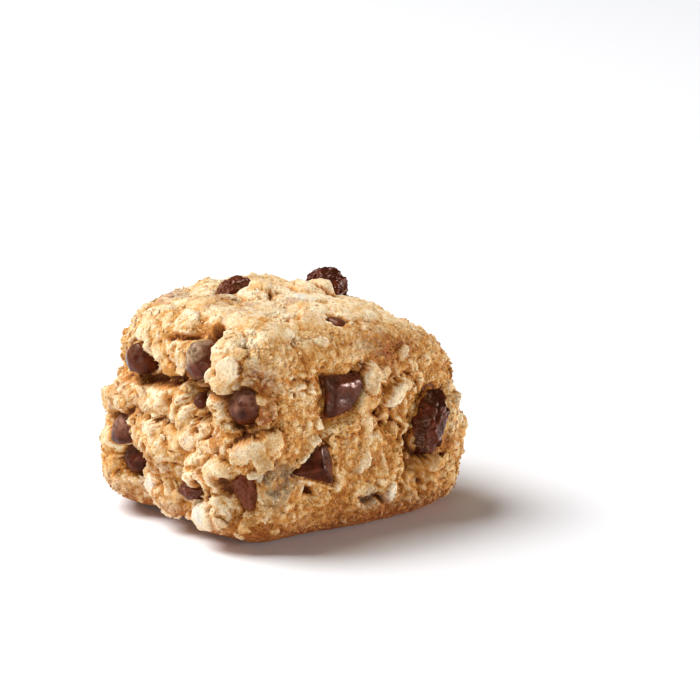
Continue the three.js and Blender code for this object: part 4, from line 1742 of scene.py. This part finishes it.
@dataclass
class Crumbs(Scattered):
    """Crumbs: eight-sided grains with uneven corners."""

    smooth: bool = False
    lowest: float = 1.0
    clear: float = 0.6

    def shape(self, random: np.random.Generator, copies: int) -> tuple[Array, Faces]:
        """Both ends of the three axes, each pulled in or out and aside at random."""
        corners = np.repeat(np.eye(3), 2, axis=0) * np.array([1, -1] * 3)[:, None]
        sides = [(0, 2, 4), (2, 1, 4), (1, 3, 4), (3, 0, 4), (2, 0, 5), (1, 2, 5), (3, 1, 5), (0, 3, 5)]
        radius = random.uniform(0.35, 0.65, (copies, 6, 1))
        aside = random.uniform(-0.15, 0.15, (copies, 6, 3))
        return corners * radius + aside, np.array(sides)


@dataclass
class OatFlakes(Scattered):
    """Rolled oat flakes: thin ragged ovals, bent and twisted a little.

    Attributes:
        around: Vertices of a ring.
        rings: Rings from the under side to the upper side.
        ragged: Most by which the rim goes in or out.
        width: Least and largest width as a share of the length.
        thickness: Least and largest half thickness.
        bend: Least and largest bend along the flake.
        twist: Largest twist.
    """

    around: int = 10
    rings: int = 3
    ragged: float = 0.16
    width: tuple[float, float] = (0.55, 0.8)
    thickness: tuple[float, float] = (0.07, 0.12)
    bend: tuple[float, float] = (-0.5, 0.7)
    twist: float = 0.4
    paler: tuple[float, float] = (0.05, 0.32)

    def shape(self, random: np.random.Generator, copies: int) -> tuple[Array, Faces]:
        """Rings from the under side over the rim to the upper side, closed by a point on each side.

        The ring at an angle t from the lower pole has radius sin(t) to a small power, times an uneven rim,
        and height -cos(t) times the thickness. The whole is bent by the square of the way along it, and
        twisted by the product of the ways along and across it.
        """
        levels = np.linspace(0, np.pi, self.rings + 2)[1:-1]
        turn = np.linspace(0, 2 * np.pi, self.around, endpoint=False)
        rim = 0.5 * (1 + random.uniform(-self.ragged, self.ragged, (copies, 1, self.around)))
        radius = rim * (np.sin(levels) ** 0.7)[None, :, None]
        narrow = random.uniform(*self.width, (copies, 1, 1))
        thick = random.uniform(*self.thickness, (copies, 1, 1))
        x = radius * np.cos(turn)
        y = radius * np.sin(turn) * narrow
        z = -np.cos(levels)[None, :, None] * thick * np.ones_like(x)
        body = np.stack([x, y, z], axis=-1).reshape(copies, -1, 3)
        poles = np.zeros((copies, 2, 3))
        poles[..., 2] = thick[:, 0] * np.array([-1, 0.85])
        shape = np.concatenate([body, poles], axis=1)
        shape[..., 2] += random.uniform(*self.bend, (copies, 1)) * (shape[..., 0] ** 2 - 0.1)
        shape[..., 2] += random.uniform(-self.twist, self.twist, (copies, 1)) * shape[..., 1] * shape[..., 0]
        return shape, self.faces()

    def faces(self) -> Faces:
        """Triangles of one flake, outward."""
        number = np.arange(self.rings * self.around).reshape(self.rings, self.around)
        after = np.roll(number, -1, axis=1)
        a, b, c, d = (g.ravel() for g in (number[:-1], after[:-1], after[1:], number[1:]))
        bottom = np.full(self.around, number.size)
        lower = np.column_stack([bottom, after[0], number[0]])
        upper = np.column_stack([bottom + 1, number[-1], after[-1]])
        return np.concatenate([np.column_stack([a, b, c]), np.column_stack([a, c, d]), lower, upper])


# Studio


@dataclass(frozen=True)
class Lamp:
    """A square soft light.

    Attributes:
        name: Name of the light.
        place: Where it stands, in metres.
        size: Side of the square, in metres.
        power: Watts.
    """

    name: str
    place: Place
    size: float
    power: float

    def build(self, target: Place) -> None:
        """The light, facing a target given in metres."""
        data = bpy.data.lights.new(self.name, "AREA")
        data.size, data.energy = self.size, self.power
        light = bpy.data.objects.new(self.name, data)
        light.location = self.place
        light.rotation_euler = (Vector(target) - Vector(self.place)).to_track_quat("-Z", "Y").to_euler()
        bpy.context.scene.collection.objects.link(light)


LAMPS = [
    Lamp("key", (-0.4, 0.4, 0.83), 0.66, 15.0),
    Lamp("front", (0.85, -0.62, 0.08), 0.16, 8.6),
    Lamp("side", (-0.9, -0.4, 0.13), 0.25, 2.4),
]


@dataclass
class Studio:
    """Pale ground, soft lights and the camera.

    Attributes:
        azimuth: Degrees that the camera stands round from the front, positive towards +X.
        elevation: Degrees above the ground.
        distance: From the camera to the point it is fitted to, in millimetres.
        focal: Focal length in pixels of the image.
        image: Side of the image in pixels.
        aim: Point of the object that the camera is fitted to, in millimetres.
        aim_pixel: Where that point lies in the image.
        ambient: Strength of the light from all round.
        ground: Half the side of the ground, in millimetres.
    """

    azimuth: float = -38.0
    elevation: float = 16.0
    distance: float = 560.0
    focal: float = 4256.0
    image: int = 700
    aim: Place = (0.0, 0.0, 15.0)
    aim_pixel: tuple[float, float] = (284.5, 396.0)
    ambient: float = 0.06
    ground: float = 3000.0

    def camera(self) -> None:
        """A camera that sees the aim at its pixel: its axis is turned off the aim by the pixel's offset."""
        a, e = np.radians([self.azimuth, self.elevation])
        right = np.array([np.cos(a), np.sin(a), 0])
        back = np.array([np.sin(a) * np.cos(e), -np.cos(a) * np.cos(e), np.sin(e)])
        up = np.cross(back, right)
        middle = self.image / 2
        aside = right * (middle - self.aim_pixel[0]) / self.focal
        forward = -back + aside + up * (self.aim_pixel[1] - middle) / self.focal
        data = bpy.data.cameras.new("camera")
        data.sensor_width = 36.0
        data.lens = self.focal / self.image * data.sensor_width
        data.clip_start, data.clip_end = 0.01, 20.0
        camera = bpy.data.objects.new("camera", data)
        camera.location = (np.array(self.aim) + self.distance * back) * MM
        camera.rotation_euler = Vector(forward).to_track_quat("-Z", "Y").to_euler()
        bpy.context.scene.collection.objects.link(camera)
        bpy.context.scene.camera = camera

    def build(self) -> None:
        """Ground, world, lights and camera."""
        corners = np.array([[-1, -1, 0], [1, -1, 0], [1, 1, 0], [-1, 1, 0]]) * self.ground
        floor = write_mesh("ground", corners, np.array([[0, 1, 2, 3]]))
        floor.data.materials.append(FloorFinish().material())
        world = bpy.data.worlds.new("studio")
        world.use_nodes = True
        background = world.node_tree.nodes["Background"]
        background.inputs["Color"].default_value = (1, 1, 1, 1)
        background.inputs["Strength"].default_value = self.ambient
        bpy.context.scene.world = world
        for lamp in LAMPS:
            lamp.build(tuple(MM * length for length in self.aim))
        self.camera()
        bpy.context.scene.view_settings.view_transform = "Standard"


def main() -> None:
    """Builds the bite piece by piece."""
    logging.basicConfig(level=logging.INFO, format="%(name)s %(message)s")
    Studio().build()
    chocolate = ChocolateFinish().material()
    skin = RaisinFinish().material()
    baked = DoughFinish().material()
    loose = DoughFinish(name="baked_crumb", glow=0.0).material()
    names = sorted(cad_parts)
    chips = [ChocolateChip(name) for name in names if name.startswith("chip")]
    raisins = [Raisin(name) for name in names if name.startswith("raisin")]
    for seed, chip in enumerate(chips, start=100):
        chip.build(chocolate, seed)
    for seed, raisin in enumerate(raisins, start=200):
        raisin.build(skin, seed)
    dough = Dough([*chips, *raisins])
    dough.build(baked)
    craggy = SideValues(left=4, right=3, front=0.3, back=2.6, top=0.4)
    flaky = SideValues(left=3, right=2.4, front=0.8, back=2.4, top=0.8)
    everywhere = SideValues(left=1.6, right=1.4, front=2.4, back=1.4, top=0.45)
    scattered = [
        Clods("clods", 110, craggy, size=(1.0, 2.4), power=1.5, lean=0.6, lift=-0.25, seed=1),
        OatFlakes("oat_flakes", 220, flaky, size=(1.2, 2.9), power=1.3, lean=0.3, lift=-0.06, seed=2),
        Crumbs("crumbs", 10000, everywhere, size=(0.24, 0.72), power=2.2, lean=0.8, lift=-0.05, seed=3),
    ]
    for kind in scattered:
        kind.build(dough, loose)


if __name__ == "__main__":
    main()
